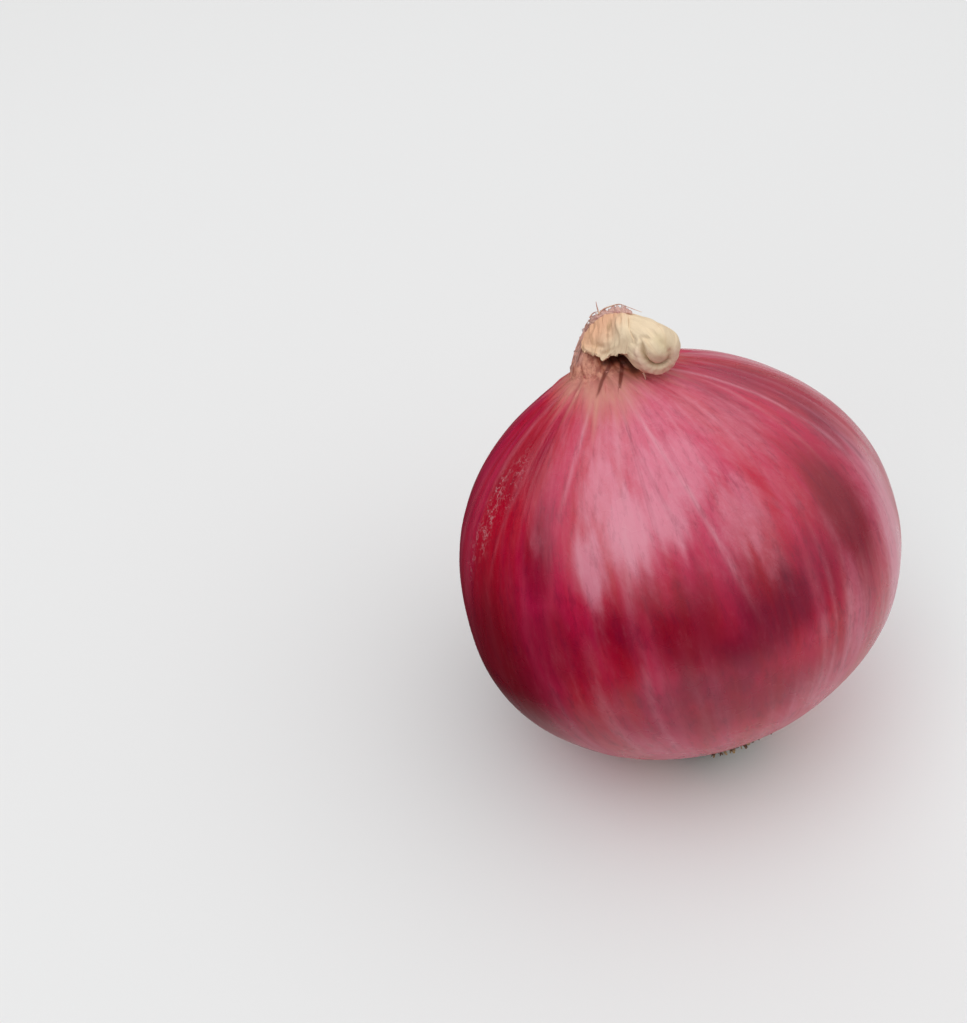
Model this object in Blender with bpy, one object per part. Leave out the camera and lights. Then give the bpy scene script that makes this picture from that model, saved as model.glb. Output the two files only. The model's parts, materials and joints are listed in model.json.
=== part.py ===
"""A red onion lying on its flat spot: the bulb in its dry skin, the folded dry neck and the root tuft.

Written for Blender 4.5, in metres, +Z up. The origin is the middle of the flat spot.
Each piece is first shaped in the onion's own frame, with the neck on +Z, and then leaned over.
"""
import math

import bmesh
import bpy
import numpy as np
from mathutils import Euler, Vector

MM = 0.001

# Bulb: a turned profile, flatter towards the roots and drawn out to a throat below the neck
EQUATOR_R = 33.0 * MM
ROOT_SIDE = 27.7 * MM
NECK_SIDE = 32.6 * MM
ROOT_ROUND = 2.19
ROOT_FULLNESS = 0.535
NECK_ROUND = 2.245
NECK_FULLNESS = 0.60
THROAT_R = 5.06 * MM
THROAT_BLEND = 3.0
THROAT_RISE = 0.7 * MM
THROAT_SHIFT = -1.4 * MM
PLATE_R = 7.5 * MM
AXIS_BEND = -0.049
ROOT_SHIFT = (0.5 * MM, -0.9 * MM)

# Broad unevenness of the bulb, as shares of its radius, with the angle of each
OVAL = -0.019
OVAL_AT = 317.0
TRIPLE = 0.004
TRIPLE_AT = 324.0
RIB = 0.0035
RIBS = 11

# Creases in the skin round the throat: angles round the axis in degrees
CREASES = (12, 44, 79, 118, 149, 186, 218, 247, 262, 283, 297, 318, 341)
CREASE_DEPTH = 0.42 * MM
CREASE_WIDTH = 4.5
CREASE_REACH = 7.0 * MM

# Lean of the onion as it lies, in degrees, and the flat spot pressed into it
LEAN = (-25.25, -12.43, 11.45)
FLAT_DEPTH = 0.60 * MM

# Neck: middle line as x, y, z in mm in the onion's own frame, then the half width across the fold
# and the half thickness on its outer and on its inner side
NECK_LINE = (
    (-3.00, 0.10, 33.55, 4.95, 4.95, 4.95),
    (-2.55, 0.70, 34.50, 4.20, 4.20, 3.70),
    (-1.60, 0.55, 35.80, 3.75, 3.60, 2.10),
    (-0.05, -1.45, 36.75, 3.40, 3.10, 2.50),
    (1.55, -4.10, 36.85, 3.30, 3.05, 2.90),
    (2.85, -6.80, 36.10, 3.35, 3.35, 3.30),
    (3.60, -9.00, 35.25, 3.40, 3.55, 3.50),
    (3.85, -10.40, 34.70, 3.15, 3.35, 3.30),
)
NECK_STATIONS = 26
NECK_FOOT = 6
NECK_RISE = 0.16 * MM
NECK_PLEATS = 13
NECK_PLEAT_DEPTH = 0.045
MOUTH_RINGS = 8
MOUTH_GROOVE = 1.5 * MM
MOUTH_RIM = 0.68
GAP = 0.3 * MM

# Root tuft: a low domed plate with dry root stubs
PLATE_DOME = 1.1 * MM
PLATE_RIM = 0.45 * MM
STUBS = 100
STUB_R = (0.48 * MM, 0.72 * MM)
STUB_LENGTH = (1.3 * MM, 2.6 * MM)
LONG_ROOTS = 7
LONG_R = 0.38 * MM
LONG_LENGTH = (3.4 * MM, 5.2 * MM)
ROOT_SUNK = 0.9 * MM
ROOT_SIDES = 5
FLOOR_GAP = 0.15 * MM
SKIN_GAP = 0.35 * MM
PRESSED_UNDER = 2.6 * MM
PRESS = 2.4
OPEN_SIDE = (0.45, -0.89, 0.0)
SEED = 14

# Heights of the rings near the throat, as angles from the equator, and faces round the bulb and neck
THROAT_STEPS = (65, 68, 71, 74, 77, 80, 83, 90)
AROUND = 66
NECK_AROUND = 32


def bulb_radius(z):
    """Radius of the turned profile at height z above the equator."""
    blend = THROAT_BLEND
    if z < 0:
        part = 1 - min(-z / ROOT_SIDE, 1) ** ROOT_ROUND
        return EQUATOR_R * part ** ROOT_FULLNESS
    part = 1 - min(z / NECK_SIDE, 1) ** NECK_ROUND
    dome = EQUATOR_R * part ** NECK_FULLNESS
    full = (EQUATOR_R ** blend + THROAT_R ** blend) ** (1 / blend)
    return (dome ** blend + THROAT_R ** blend) ** (1 / blend) * EQUATOR_R / full


def plate_height():
    """Height, below the equator, at which the profile has narrowed to the root plate."""
    part = (PLATE_R / EQUATOR_R) ** (1 / ROOT_FULLNESS)
    return -ROOT_SIDE * (1 - part) ** (1 / ROOT_ROUND)


def axis_at(z):
    """Middle of the bulb at height z: the axis bows, and swings to the root plate and the throat."""
    bow = AXIS_BEND * EQUATOR_R * (min(z, NECK_SIDE) / EQUATOR_R) ** 2
    if z < 0:
        swing = (z / ROOT_SIDE) ** 6
        return Vector((bow + ROOT_SHIFT[0] * swing, ROOT_SHIFT[1] * swing, z))
    swing = min(max((z / NECK_SIDE - 0.8) / 0.2, 0), 1) ** 4
    return Vector((bow + THROAT_SHIFT * swing, 0, z))


def bulb_point(angle, z):
    """Point of the skin at an angle round the axis and a height above the equator."""
    radius = bulb_radius(z)
    fade = max(1 - (z / (NECK_SIDE if z > 0 else ROOT_SIDE)) ** 4, 0)
    radius *= 1 + OVAL * math.cos(2 * (angle - math.radians(OVAL_AT)))
    radius *= 1 + TRIPLE * math.cos(3 * (angle - math.radians(TRIPLE_AT)))
    wave = math.cos(RIBS * angle + 0.9 * math.sin(2 * angle))
    radius *= 1 + RIB * fade * wave
    near = math.exp(-((NECK_SIDE - z) / CREASE_REACH) ** 2)
    if near > 0.01:
        depth = 0.0
        for crease in CREASES:
            off = (math.degrees(angle) - crease + 180) % 360 - 180
            depth += math.exp(-(off / CREASE_WIDTH) ** 2)
        radius -= CREASE_DEPTH * near * depth
    middle = axis_at(z)
    return Vector((radius * math.cos(angle) + middle.x, radius * math.sin(angle) + middle.y, z))


def solid(name, rings, ends=(True, True)):
    """Closed body from rings of points, with a fan over each end."""
    bm = bmesh.new()
    rows = [[bm.verts.new(point) for point in ring] for ring in rings]
    for low, high in zip(rows, rows[1:]):
        count = len(low)
        for i in range(count):
            j = (i + 1) % count
            bm.faces.new((low[i], low[j], high[j], high[i]))
    for row, wanted in ((rows[0][::-1], ends[0]), (rows[-1], ends[1])):
        if not wanted:
            continue
        middle = sum((v.co for v in row), Vector()) / len(row)
        hub = bm.verts.new(middle)
        for i in range(len(row)):
            bm.faces.new((row[i], row[(i + 1) % len(row)], hub))
    bmesh.ops.recalc_face_normals(bm, faces=bm.faces)
    mesh = bpy.data.meshes.new(name)
    bm.to_mesh(mesh)
    bm.free()
    obj = bpy.data.objects.new(name, mesh)
    bpy.context.scene.collection.objects.link(obj)
    return obj


def angles(count):
    return [2 * math.pi * i / count for i in range(count)]


def spline(points, count):
    """Smooth run of points through the given ones, as rows of numbers."""
    rows = np.array(points, float)
    out = []
    for step in np.linspace(0, len(rows) - 1, count):
        i = min(int(step), len(rows) - 2)
        t = step - i
        before = rows[max(i - 1, 0)]
        after = rows[min(i + 2, len(rows) - 1)]
        a, b = rows[i], rows[i + 1]
        out.append(0.5 * (2 * a + (b - before) * t
                          + (2 * before - 5 * a + 4 * b - after) * t * t
                          + (3 * a - before - 3 * b + after) * t ** 3))
    return out


# Bulb
def make_bulb():
    low = math.asin(plate_height() / ROOT_SIDE)
    steps = list(np.linspace(low, math.radians(62), 26)) + [math.radians(v) for v in THROAT_STEPS]
    heights = [math.sin(s) * (ROOT_SIDE if s < 0 else NECK_SIDE) for s in steps]
    heights.append(NECK_SIDE + THROAT_RISE)
    rings = [[bulb_point(a, z) for a in angles(AROUND)] for z in heights]
    return solid("bulb", rings)


# Neck
def make_neck():
    rows = spline(NECK_LINE, NECK_STATIONS)
    places = [Vector(row[:3].tolist()) * MM for row in rows]
    side = Vector((1, 0, 0))
    top = NECK_SIDE + THROAT_RISE
    turns = angles(NECK_AROUND)
    rings = [[bulb_point(a, top) + Vector((0, 0, GAP)) for a in turns]]
    for i in range(1, len(places)):
        ahead = places[min(i + 1, len(places) - 1)] - places[i - 1]
        ahead.normalize()
        side = (side - side.dot(ahead) * ahead).normalized()
        depth = ahead.cross(side)
        share = i / (len(places) - 1)
        across, outer, inner = (float(v) * MM for v in rows[i][3:])
        ring = []
        for a in turns:
            pleat = math.cos(NECK_PLEATS * a + 3 * share) + 0.6 * math.cos(7 * a + 1.3)
            size = 1 + NECK_PLEAT_DEPTH * pleat * (1 - 0.6 * share)
            through = outer if math.sin(a) > 0 else inner
            point = places[i] + size * (across * math.cos(a) * side + through * math.sin(a) * depth)
            if i < NECK_FOOT:
                rest = (1 - i / NECK_FOOT) ** 2
                point = point.lerp(rings[0][len(ring)] + Vector((0, 0, NECK_RISE * i)), rest)
            ring.append(point)
        rings.append(ring)
    # The open end: a rim, a groove round three sides of it, and a tongue of inner leaf hanging from the top
    end = places[-1]
    for step in range(1, MOUTH_RINGS):
        share = 1 - step / MOUTH_RINGS
        ring = []
        for a, rim in zip(turns, rings[NECK_STATIONS - 1]):
            open_side = 0.5 - 0.5 * math.tanh(3.0 * (math.cos(a - math.radians(105)) - 0.55))
            groove = math.exp(-((share - MOUTH_RIM) / 0.16) ** 2) * open_side
            crown = 0.5 * MM * math.sin(math.pi * share) + 0.35 * MM * (1 - share)
            ring.append(end.lerp(rim, share) + ahead * (crown - MOUTH_GROOVE * groove))
        rings.append(ring)
    return solid("neck", rings)


# Root tuft
def inside_skin(point):
    """Whether a point, in the onion's own frame, is in the bulb or too near its skin."""
    if point.z < plate_height() - SKIN_GAP or point.z > 0:
        return False
    out = (point - axis_at(point.z)).length
    return out < bulb_radius(point.z) * (1 + abs(OVAL)) + SKIN_GAP


def root_line(start, aim, length, curl, segments, radius, turn, lift):
    """Middle line of a root that leaves the plate along aim, curls, and bends where it meets the floor."""
    up = turn.inverted() @ Vector((0, 0, 1))
    points = [start - aim * ROOT_SUNK]
    here, ahead = start.copy(), aim.copy()
    for i in range(segments):
        here = here + ahead * (length / segments)
        room = (turn @ here).z + lift - radius - FLOOR_GAP
        if room < 0:
            here = here - up * room
            ahead = ahead - up * min(ahead.dot(up), 0)
        points.append(here.copy())
        ahead = (ahead + curl * ((i + 1) / segments)).normalized()
    return points


def root_body(points, radius, top, number):
    rings = []
    side = Vector((1, 0.3, 0.2))
    for i, point in enumerate(points):
        ahead = (points[min(i + 1, len(points) - 1)] - points[max(i - 1, 0)]).normalized()
        side = (side - side.dot(ahead) * ahead).normalized()
        depth = ahead.cross(side)
        size = radius * (1 - 0.45 * (i / (len(points) - 1)) ** 2)
        ring = [point + size * (math.cos(a) * side + math.sin(a) * depth)
                for a in angles(ROOT_SIDES)]
        for corner in ring:
            corner.z = min(corner.z, top)
        rings.append(ring)
    return solid("root_%03d" % number, rings)


def fill_pockets(mesh):
    """Keeps the outer shell only, so that no pocket stays sealed between pressed roots."""
    bm = bmesh.new()
    bm.from_mesh(mesh)
    left = set(bm.verts)
    shells = []
    while left:
        shell, edge = set(), [left.pop()]
        while edge:
            vert = edge.pop()
            shell.add(vert)
            for link in vert.link_edges:
                other = link.other_vert(vert)
                if other in left:
                    left.discard(other)
                    edge.append(other)
        shells.append(shell)
    shells.sort(key=len)
    for shell in shells[:-1]:
        bmesh.ops.delete(bm, geom=list(shell), context="VERTS")
    bm.to_mesh(mesh)
    bm.free()


def make_root_tuft(turn, lift):
    rng = np.random.default_rng(SEED)
    base = plate_height() - GAP
    middle = axis_at(base + GAP)
    middle.z = 0
    rings = []
    for share in (1.0, 1.02, 0.9, 0.7, 0.45, 0.2):
        drop = PLATE_DOME * (1 - min(share, 1) ** 2) + PLATE_RIM if rings else 0.0
        ring = [middle + Vector((share * (PLATE_R - GAP) * math.cos(a),
                                 share * (PLATE_R - GAP) * math.sin(a), base - drop))
                for a in angles(28)]
        rings.append(ring)
    plate = solid("root_tuft", rings)
    group = bpy.data.collections.new("roots")
    bpy.context.scene.collection.children.link(group)
    golden = math.pi * (3 - math.sqrt(5))
    made = 0
    for n in range(STUBS + LONG_ROOTS):
        is_long = n >= STUBS
        share = math.sqrt((n + 0.6) / STUBS) if not is_long else rng.uniform(0.45, 0.95)
        turned = n * golden + rng.uniform(-0.25, 0.25)
        out = min(share + rng.uniform(-0.04, 0.04), 0.97) * (PLATE_R - 2.2 * GAP)
        drop = PLATE_DOME * (1 - (out / PLATE_R) ** 2) + PLATE_RIM
        start = middle + Vector((out * math.cos(turned), out * math.sin(turned), base - drop))
        splay = 0.15 + 0.75 * share ** 2 + rng.uniform(-0.15, 0.25)
        swing = turned + rng.uniform(-0.5, 0.5)
        aim = Vector((math.cos(swing) * math.sin(splay), math.sin(swing) * math.sin(splay),
                      -math.cos(splay)))
        # Stubs on the side that lies near the floor are pressed over towards the open side
        height = (turn @ start).z + lift
        pressed = max(1 - height / PRESSED_UNDER, 0)
        aim = (aim + pressed * PRESS * Vector(OPEN_SIDE)).normalized()
        spans = LONG_LENGTH if is_long else STUB_LENGTH
        length = float(rng.uniform(*spans))
        radius = LONG_R if is_long else rng.uniform(*STUB_R)
        curl = Vector(rng.uniform(-0.7, 0.7, 3).tolist())
        segments = 5 if is_long else 2
        for attempt in range(7):
            line = root_line(start, aim, length, curl, segments, radius, turn, lift)
            if not any(inside_skin(point) for point in line[2:]):
                break
            length *= 0.8
            curl = curl * 0.8
        else:
            continue
        root = root_body(line, radius, base - PLATE_RIM / 3, n)
        bpy.context.scene.collection.objects.unlink(root)
        group.objects.link(root)
        made += 1
    join = plate.modifiers.new("roots", "BOOLEAN")
    join.operation = "UNION"
    join.operand_type = "COLLECTION"
    join.collection = group
    join.solver = "EXACT"
    graph = bpy.context.evaluated_depsgraph_get()
    joined = bpy.data.meshes.new_from_object(plate.evaluated_get(graph))
    plate.modifiers.clear()
    plate.data = joined
    fill_pockets(joined)
    for root in list(group.objects):
        bpy.data.objects.remove(root)
    bpy.data.collections.remove(group)
    print("roots on the plate:", made)
    return plate


def paint(obj, name, colour, roughness):
    material = bpy.data.materials.new(name)
    material.use_nodes = True
    shader = material.node_tree.nodes["Principled BSDF"]
    shader.inputs["Base Color"].default_value = (*colour, 1)
    shader.inputs["Roughness"].default_value = roughness
    obj.data.materials.clear()
    obj.data.materials.append(material)


def main():
    for obj in list(bpy.data.objects):
        bpy.data.objects.remove(obj)

    turn = Euler([math.radians(v) for v in LEAN], "XYZ").to_matrix()
    bulb = make_bulb()
    lift = FLAT_DEPTH * -1 - min((turn @ v.co).z for v in bulb.data.vertices)

    # Leaned over, the bulb is cut level just above its lowest point, which leaves the flat spot
    bm = bmesh.new()
    bm.from_mesh(bulb.data)
    bmesh.ops.transform(bm, matrix=turn.to_4x4(), verts=bm.verts)
    bmesh.ops.translate(bm, vec=(0, 0, lift), verts=bm.verts)
    cut = bmesh.ops.bisect_plane(bm, geom=bm.verts[:] + bm.edges[:] + bm.faces[:], dist=1e-6,
                                 plane_co=(0, 0, 0), plane_no=(0, 0, 1), clear_inner=True)
    rim = [e for e in cut["geom_cut"] if isinstance(e, bmesh.types.BMEdge)]
    spot = bmesh.ops.holes_fill(bm, edges=rim, sides=0)["faces"]
    middle = sum((f.calc_center_median() for f in spot), Vector()) / len(spot)
    across = max((a.co - b.co).length for f in spot for a in f.verts for b in f.verts)
    for vert in {v for f in spot for v in f.verts}:
        vert.co.z = 0.0
    shift = Vector((-middle.x, -middle.y, 0))
    bmesh.ops.translate(bm, vec=shift, verts=bm.verts)
    bmesh.ops.recalc_face_normals(bm, faces=bm.faces)
    for face in bm.faces:
        face.smooth = any(v.co.z > 1e-6 for v in face.verts)
    bm.to_mesh(bulb.data)
    bm.free()

    neck = make_neck()
    tuft = make_root_tuft(turn, lift)
    for obj in (neck, tuft):
        for vert in obj.data.vertices:
            vert.co = turn @ vert.co + Vector((shift.x, shift.y, lift))

    paint(bulb, "onion_skin", (0.38, 0.025, 0.085), 0.32)
    paint(neck, "dry_neck", (0.72, 0.47, 0.28), 0.75)
    paint(tuft, "dry_roots", (0.50, 0.34, 0.16), 0.85)
    for obj in (bulb, neck, tuft):
        if obj is not bulb:
            for face in obj.data.polygons:
                face.use_smooth = True
        obj.data.update()
        print(obj.name, len(obj.data.vertices), "points,",
              sum(len(f.vertices) - 2 for f in obj.data.polygons), "triangles")
    print("flat spot across %.1f mm" % (across / MM))
    print("equator middle (mm):", [round(v / MM, 3) for v in (shift.x, shift.y, lift)])


main()
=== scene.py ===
# %% [markdown]
# # A red onion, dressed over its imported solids
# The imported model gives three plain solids: the bulb, the folded neck and the tuft of roots.
# This lesson makes the fine surface of each one, in the same place, and lights them like a product photo.
# An onion is a lesson in lines that run from pole to pole: shape, colour and relief all follow them.

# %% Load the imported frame
import math

import bmesh
import bpy
import numpy as np
from mathutils import Euler, Matrix, Vector
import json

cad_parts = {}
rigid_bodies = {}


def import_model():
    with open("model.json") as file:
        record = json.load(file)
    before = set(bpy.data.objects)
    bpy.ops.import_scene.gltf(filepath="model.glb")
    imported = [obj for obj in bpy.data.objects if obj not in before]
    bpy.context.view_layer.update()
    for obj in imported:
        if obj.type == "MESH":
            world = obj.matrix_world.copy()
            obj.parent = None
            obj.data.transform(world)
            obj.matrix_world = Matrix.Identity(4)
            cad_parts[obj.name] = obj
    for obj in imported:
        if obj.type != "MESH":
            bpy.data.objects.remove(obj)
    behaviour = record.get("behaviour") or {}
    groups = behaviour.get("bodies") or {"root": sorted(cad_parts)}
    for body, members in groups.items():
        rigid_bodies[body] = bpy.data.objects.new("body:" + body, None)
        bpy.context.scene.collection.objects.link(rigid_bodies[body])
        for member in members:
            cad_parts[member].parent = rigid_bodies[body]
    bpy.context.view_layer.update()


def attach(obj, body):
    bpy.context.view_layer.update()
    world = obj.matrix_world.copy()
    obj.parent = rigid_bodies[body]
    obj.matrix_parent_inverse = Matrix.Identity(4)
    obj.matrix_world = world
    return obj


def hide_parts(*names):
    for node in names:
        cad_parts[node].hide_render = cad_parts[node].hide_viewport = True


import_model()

# %% [markdown]
# ## The onion's own frame
# The onion lies tilted, so its axis isn't upright. Every piece is shaped with the neck straight up, and
# then leaned over by one turn and moved by one step. These are the same values that the solids use.

# %% The lean and the middle of the bulb
MM = 0.001
LEAN_DEGREES = (-25.25, -12.43, 11.45)
LEAN_TURNS = [math.radians(v) for v in LEAN_DEGREES]
LEAN = Euler(LEAN_TURNS, "XYZ").to_matrix()
MIDDLE = Vector((2.363, -3.378, 28.179)) * MM

EQUATOR_R, ROOT_SIDE, NECK_SIDE = 33.0 * MM, 27.7 * MM, 32.6 * MM
ROOT_ROUND, ROOT_FULLNESS = 2.19, 0.535
NECK_ROUND, NECK_FULLNESS = 2.245, 0.60
THROAT_R, THROAT_BLEND, THROAT_RISE = 5.06 * MM, 3.0, 0.7 * MM
THROAT_SHIFT, AXIS_BEND = -1.4 * MM, -0.049
ROOT_SHIFT = (0.5 * MM, -0.9 * MM)
PLATE_R = 7.5 * MM
PLATE_HEIGHT = -ROOT_SIDE * (1 - (PLATE_R / EQUATOR_R) ** (1 / ROOT_FULLNESS)) ** (1 / ROOT_ROUND)

# Broad unevenness, as shares of the radius, with the angle of each in degrees
OVAL, OVAL_AT = -0.019, 317
TRIPLE, TRIPLE_AT = 0.004, 324
RIBS = 11

# Creases in the skin round the throat: their angles and width in degrees, their depth and their reach
CREASES = (12, 44, 79, 118, 149, 186, 218, 247, 262, 283, 297, 318, 341)
CREASE_WIDTH = 4.5
CREASE_DEPTH, CREASE_REACH = 0.42 * MM, 7.0 * MM


def placed(point):
    """A point of the onion's own frame, where it lies in the scene."""
    return LEAN @ Vector(point) + MIDDLE


print("the neck end lies at", [round(v * 1000, 1) for v in placed((0, 0, NECK_SIDE))], "mm")

# %% [markdown]
# ## The camera
# A long lens from 40 cm away, looking down at 42 degrees, as the photo was taken. The onion isn't in the
# middle of the frame, so the camera is moved sideways, not turned, to put it there.

# %% Camera
scene = bpy.context.scene
LOOK_DOWN = math.radians(42)
DISTANCE = 400 * MM
ASIDE, ABOVE = 29.48 * MM, 7.5 * MM
LENS = 94.3

look = Matrix(((1, 0, 0),
               (0, math.sin(LOOK_DOWN), -math.cos(LOOK_DOWN)),
               (0, math.cos(LOOK_DOWN), math.sin(LOOK_DOWN))))
camera_data = bpy.data.cameras.new("photo_camera")
camera_data.lens = LENS
camera_data.sensor_width = 36
camera_data.clip_start = 0.01
camera = bpy.data.objects.new("photo_camera", camera_data)
scene.collection.objects.link(camera)
camera.matrix_world = (Matrix.Translation(MIDDLE + look @ Vector((-ASIDE, ABOVE, DISTANCE)))
                       @ look.to_4x4())
scene.camera = camera
scene.view_settings.view_transform = "Standard"
print("camera at", [round(v, 3) for v in camera.matrix_world.translation])

# %% [markdown]
# ## Formulas as nodes
# Shapes and patterns here are formulas, and a node tree is a way to write one. This small helper lets a
# number in a tree be added, multiplied and so on with the usual signs, so the trees below stay readable.
# It works the same in Geometry Nodes and in materials.

# %% A number in a node tree


class Field:
    """A number that a node tree works out at each point."""

    def __init__(self, tree, socket):
        self.tree, self.socket = tree, socket

    def do(self, operation, *others):
        node = self.tree.nodes.new("ShaderNodeMath")
        node.operation = operation
        for slot, value in zip(node.inputs, (self, *others)):
            feed(self.tree, slot, value)
        return Field(self.tree, node.outputs[0])

    def __add__(self, other):
        return self.do("ADD", other)

    def __sub__(self, other):
        return self.do("SUBTRACT", other)

    def __mul__(self, other):
        return self.do("MULTIPLY", other)

    def __truediv__(self, other):
        return self.do("DIVIDE", other)

    def __pow__(self, other):
        return self.do("POWER", other)

    __radd__ = __add__
    __rmul__ = __mul__

    def __rsub__(self, other):
        return (self * -1.0) + other

    def __neg__(self):
        return self * -1.0

    def low(self, other):
        return self.do("MINIMUM", other)

    def high(self, other):
        return self.do("MAXIMUM", other)

    def bell(self, middle, width):
        """1 at the middle, falling to 0 about two widths away."""
        off = (self - middle) / width
        return (off * off * -1.0).do("EXPONENT")

    def ramp(self, start, end, low=0.0, high=1.0):
        """A smooth step from low to high."""
        node = self.tree.nodes.new("ShaderNodeMapRange")
        node.interpolation_type = "SMOOTHSTEP"
        for name, value in (("Value", self), ("From Min", start), ("From Max", end),
                            ("To Min", low), ("To Max", high)):
            feed(self.tree, node.inputs[name], value)
        return Field(self.tree, node.outputs["Result"])


def feed(tree, slot, value):
    """Links a field or a socket to an input, or sets the input to a plain value."""
    if isinstance(value, Field):
        tree.links.new(value.socket, slot)
    elif isinstance(value, bpy.types.NodeSocket):
        tree.links.new(value, slot)
    else:
        slot.default_value = value


def node(tree, kind, settings=(), **inputs):
    """A new node with its settings and inputs; an underscore in an input's name stands for a space."""
    made = tree.nodes.new(kind)
    for name, value in dict(settings).items():
        setattr(made, name, value)
    for name, value in inputs.items():
        feed(tree, made.inputs[name.replace("_", " ")], value)
    return made


def split(tree, vector):
    parts = node(tree, "ShaderNodeSeparateXYZ", Vector=vector)
    return [Field(tree, parts.outputs[axis]) for axis in "XYZ"]


def join(tree, x, y, z):
    made = tree.nodes.new("ShaderNodeCombineXYZ")
    for slot, value in zip(made.inputs, (x, y, z)):
        feed(tree, slot, value)
    return made.outputs[0]


def noise(tree, vector, scale=1.0, detail=2.0, roughness=0.5, distortion=0.0):
    made = node(tree, "ShaderNodeTexNoise", Vector=vector, Scale=scale, Detail=detail,
                Roughness=roughness, Distortion=distortion)
    return Field(tree, made.outputs[0])


def round_noise(tree, way, fineness, stretch, twist=0.0, **settings):
    """Noise that runs round an axis, drawn out from pole to pole and slightly twisted.

    The way round is given by its cosine, its sine and the height."""
    side, front, height = way
    place = join(tree, side * fineness, front * fineness, height * stretch)
    if twist:
        turned = node(tree, "ShaderNodeVectorRotate", {"rotation_type": "Z_AXIS"}, Vector=place)
        feed(tree, turned.inputs["Angle"], height * twist)
        place = turned.outputs[0]
    return noise(tree, place, **settings)


print("formula helper ready")

# %% [markdown]
# ## Growing a mesh from a Geometry Nodes tree
# Each tree gets named inputs, so that its sizes can be changed from the modifier panel. Here the inputs
# are set by their identifiers, the tree runs once, and its result is kept as a plain mesh.

# %% Tree helpers


def new_tree(name, inputs):
    """A Geometry Nodes tree with named number inputs. Gives the tree and a field for each input."""
    tree = bpy.data.node_groups.new(name, "GeometryNodeTree")
    for label, value in inputs.items():
        kind = "NodeSocketInt" if isinstance(value, int) else "NodeSocketFloat"
        tree.interface.new_socket(label, in_out="INPUT", socket_type=kind).default_value = value
    tree.interface.new_socket("Geometry", in_out="OUTPUT", socket_type="NodeSocketGeometry")
    start = tree.nodes.new("NodeGroupInput")
    return tree, {label: Field(tree, start.outputs[label]) for label in inputs}


def end_tree(tree, geometry, material):
    """Realizes what the tree made, gives it its material and sends it out."""
    real = node(tree, "GeometryNodeRealizeInstances", Geometry=geometry)
    dressed = node(tree, "GeometryNodeSetMaterial", Geometry=real.outputs[0], Material=material)
    end = tree.nodes.new("NodeGroupOutput")
    tree.links.new(dressed.outputs[0], end.inputs[0])


def store(tree, geometry, name, value, kind="FLOAT_VECTOR"):
    made = node(tree, "GeometryNodeStoreNamedAttribute",
                {"data_type": kind, "domain": "POINT"}, Geometry=geometry, Name=name)
    feed(tree, made.inputs["Value"], value)
    return made.outputs[0]


def grow(name, tree, values):
    """Runs a tree on an empty object and keeps the result as a plain mesh."""
    obj = bpy.data.objects.new(name, bpy.data.meshes.new(name))
    scene.collection.objects.link(obj)
    modifier = obj.modifiers.new("shape", "NODES")
    modifier.node_group = tree
    for item in tree.interface.items_tree:
        if item.item_type == "SOCKET" and item.in_out == "INPUT" and item.name in values:
            modifier[item.identifier] = values[item.name]
    graph = bpy.context.evaluated_depsgraph_get()
    grown = bpy.data.meshes.new_from_object(obj.evaluated_get(graph),
                                            preserve_all_data_layers=True, depsgraph=graph)
    obj.modifiers.clear()
    obj.data = grown
    return outward(obj)


def outward(obj):
    """Turns every face outwards and shades the piece smooth."""
    bm = bmesh.new()
    bm.from_mesh(obj.data)
    bmesh.ops.remove_doubles(bm, verts=bm.verts, dist=1e-6)
    bmesh.ops.recalc_face_normals(bm, faces=bm.faces)
    for face in bm.faces:
        face.smooth = True
    bm.to_mesh(obj.data)
    bm.free()
    print(obj.name, len(obj.data.vertices), "points,",
          sum(len(p.vertices) - 2 for p in obj.data.polygons), "triangles")
    return obj


def read(obj, name):
    """A stored vector of every point, as an array of rows."""
    layer = obj.data.attributes[name]
    rows = np.empty(len(layer.data) * 3, np.float32)
    layer.data.foreach_get("vector", rows)
    return rows.reshape(-1, 3)


def write(obj, name, values):
    """Stores a number or a vector for every point."""
    values = np.ascontiguousarray(values, np.float32)
    kind, slot = ("FLOAT", "value") if values.ndim == 1 else ("FLOAT_VECTOR", "vector")
    layer = obj.data.attributes.new(name, kind, "POINT")
    layer.data.foreach_set(slot, values.ravel())


def new_piece(name, points, faces, material, marks=()):
    """A piece from points in the onion's own frame in mm, with the marks of each point."""
    mesh = bpy.data.meshes.new(name)
    mesh.from_pydata([placed(p * MM) for p in points], [], faces)
    obj = bpy.data.objects.new(name, mesh)
    scene.collection.objects.link(obj)
    for mark, values in dict(marks).items():
        write(obj, mark, values)
    mesh.materials.append(material)
    return outward(obj)


def tube_faces(rows, sides, first=0, ends=True):
    """Faces between rows of points round a tube, and one across each end."""
    faces = []
    for row in range(rows - 1):
        for i in range(sides):
            j = (i + 1) % sides
            low, high = first + row * sides, first + (row + 1) * sides
            faces.append((low + i, low + j, high + j, high + i))
    if ends:
        last = first + (rows - 1) * sides
        faces.append([first + i for i in range(sides)][::-1])
        faces.append([last + i for i in range(sides)])
    return faces


print("tree helpers ready")

# %% [markdown]
# ## The shape of the bulb
# A bulb is close to a turned form, so it could be a spun curve. But it also has broad lobes, ribs and
# creases that gather at the throat, and those are easier as one formula: a flat grid is rolled up, with
# one side as the angle round the axis and the other as the height. The same formula shapes the solid.

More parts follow.
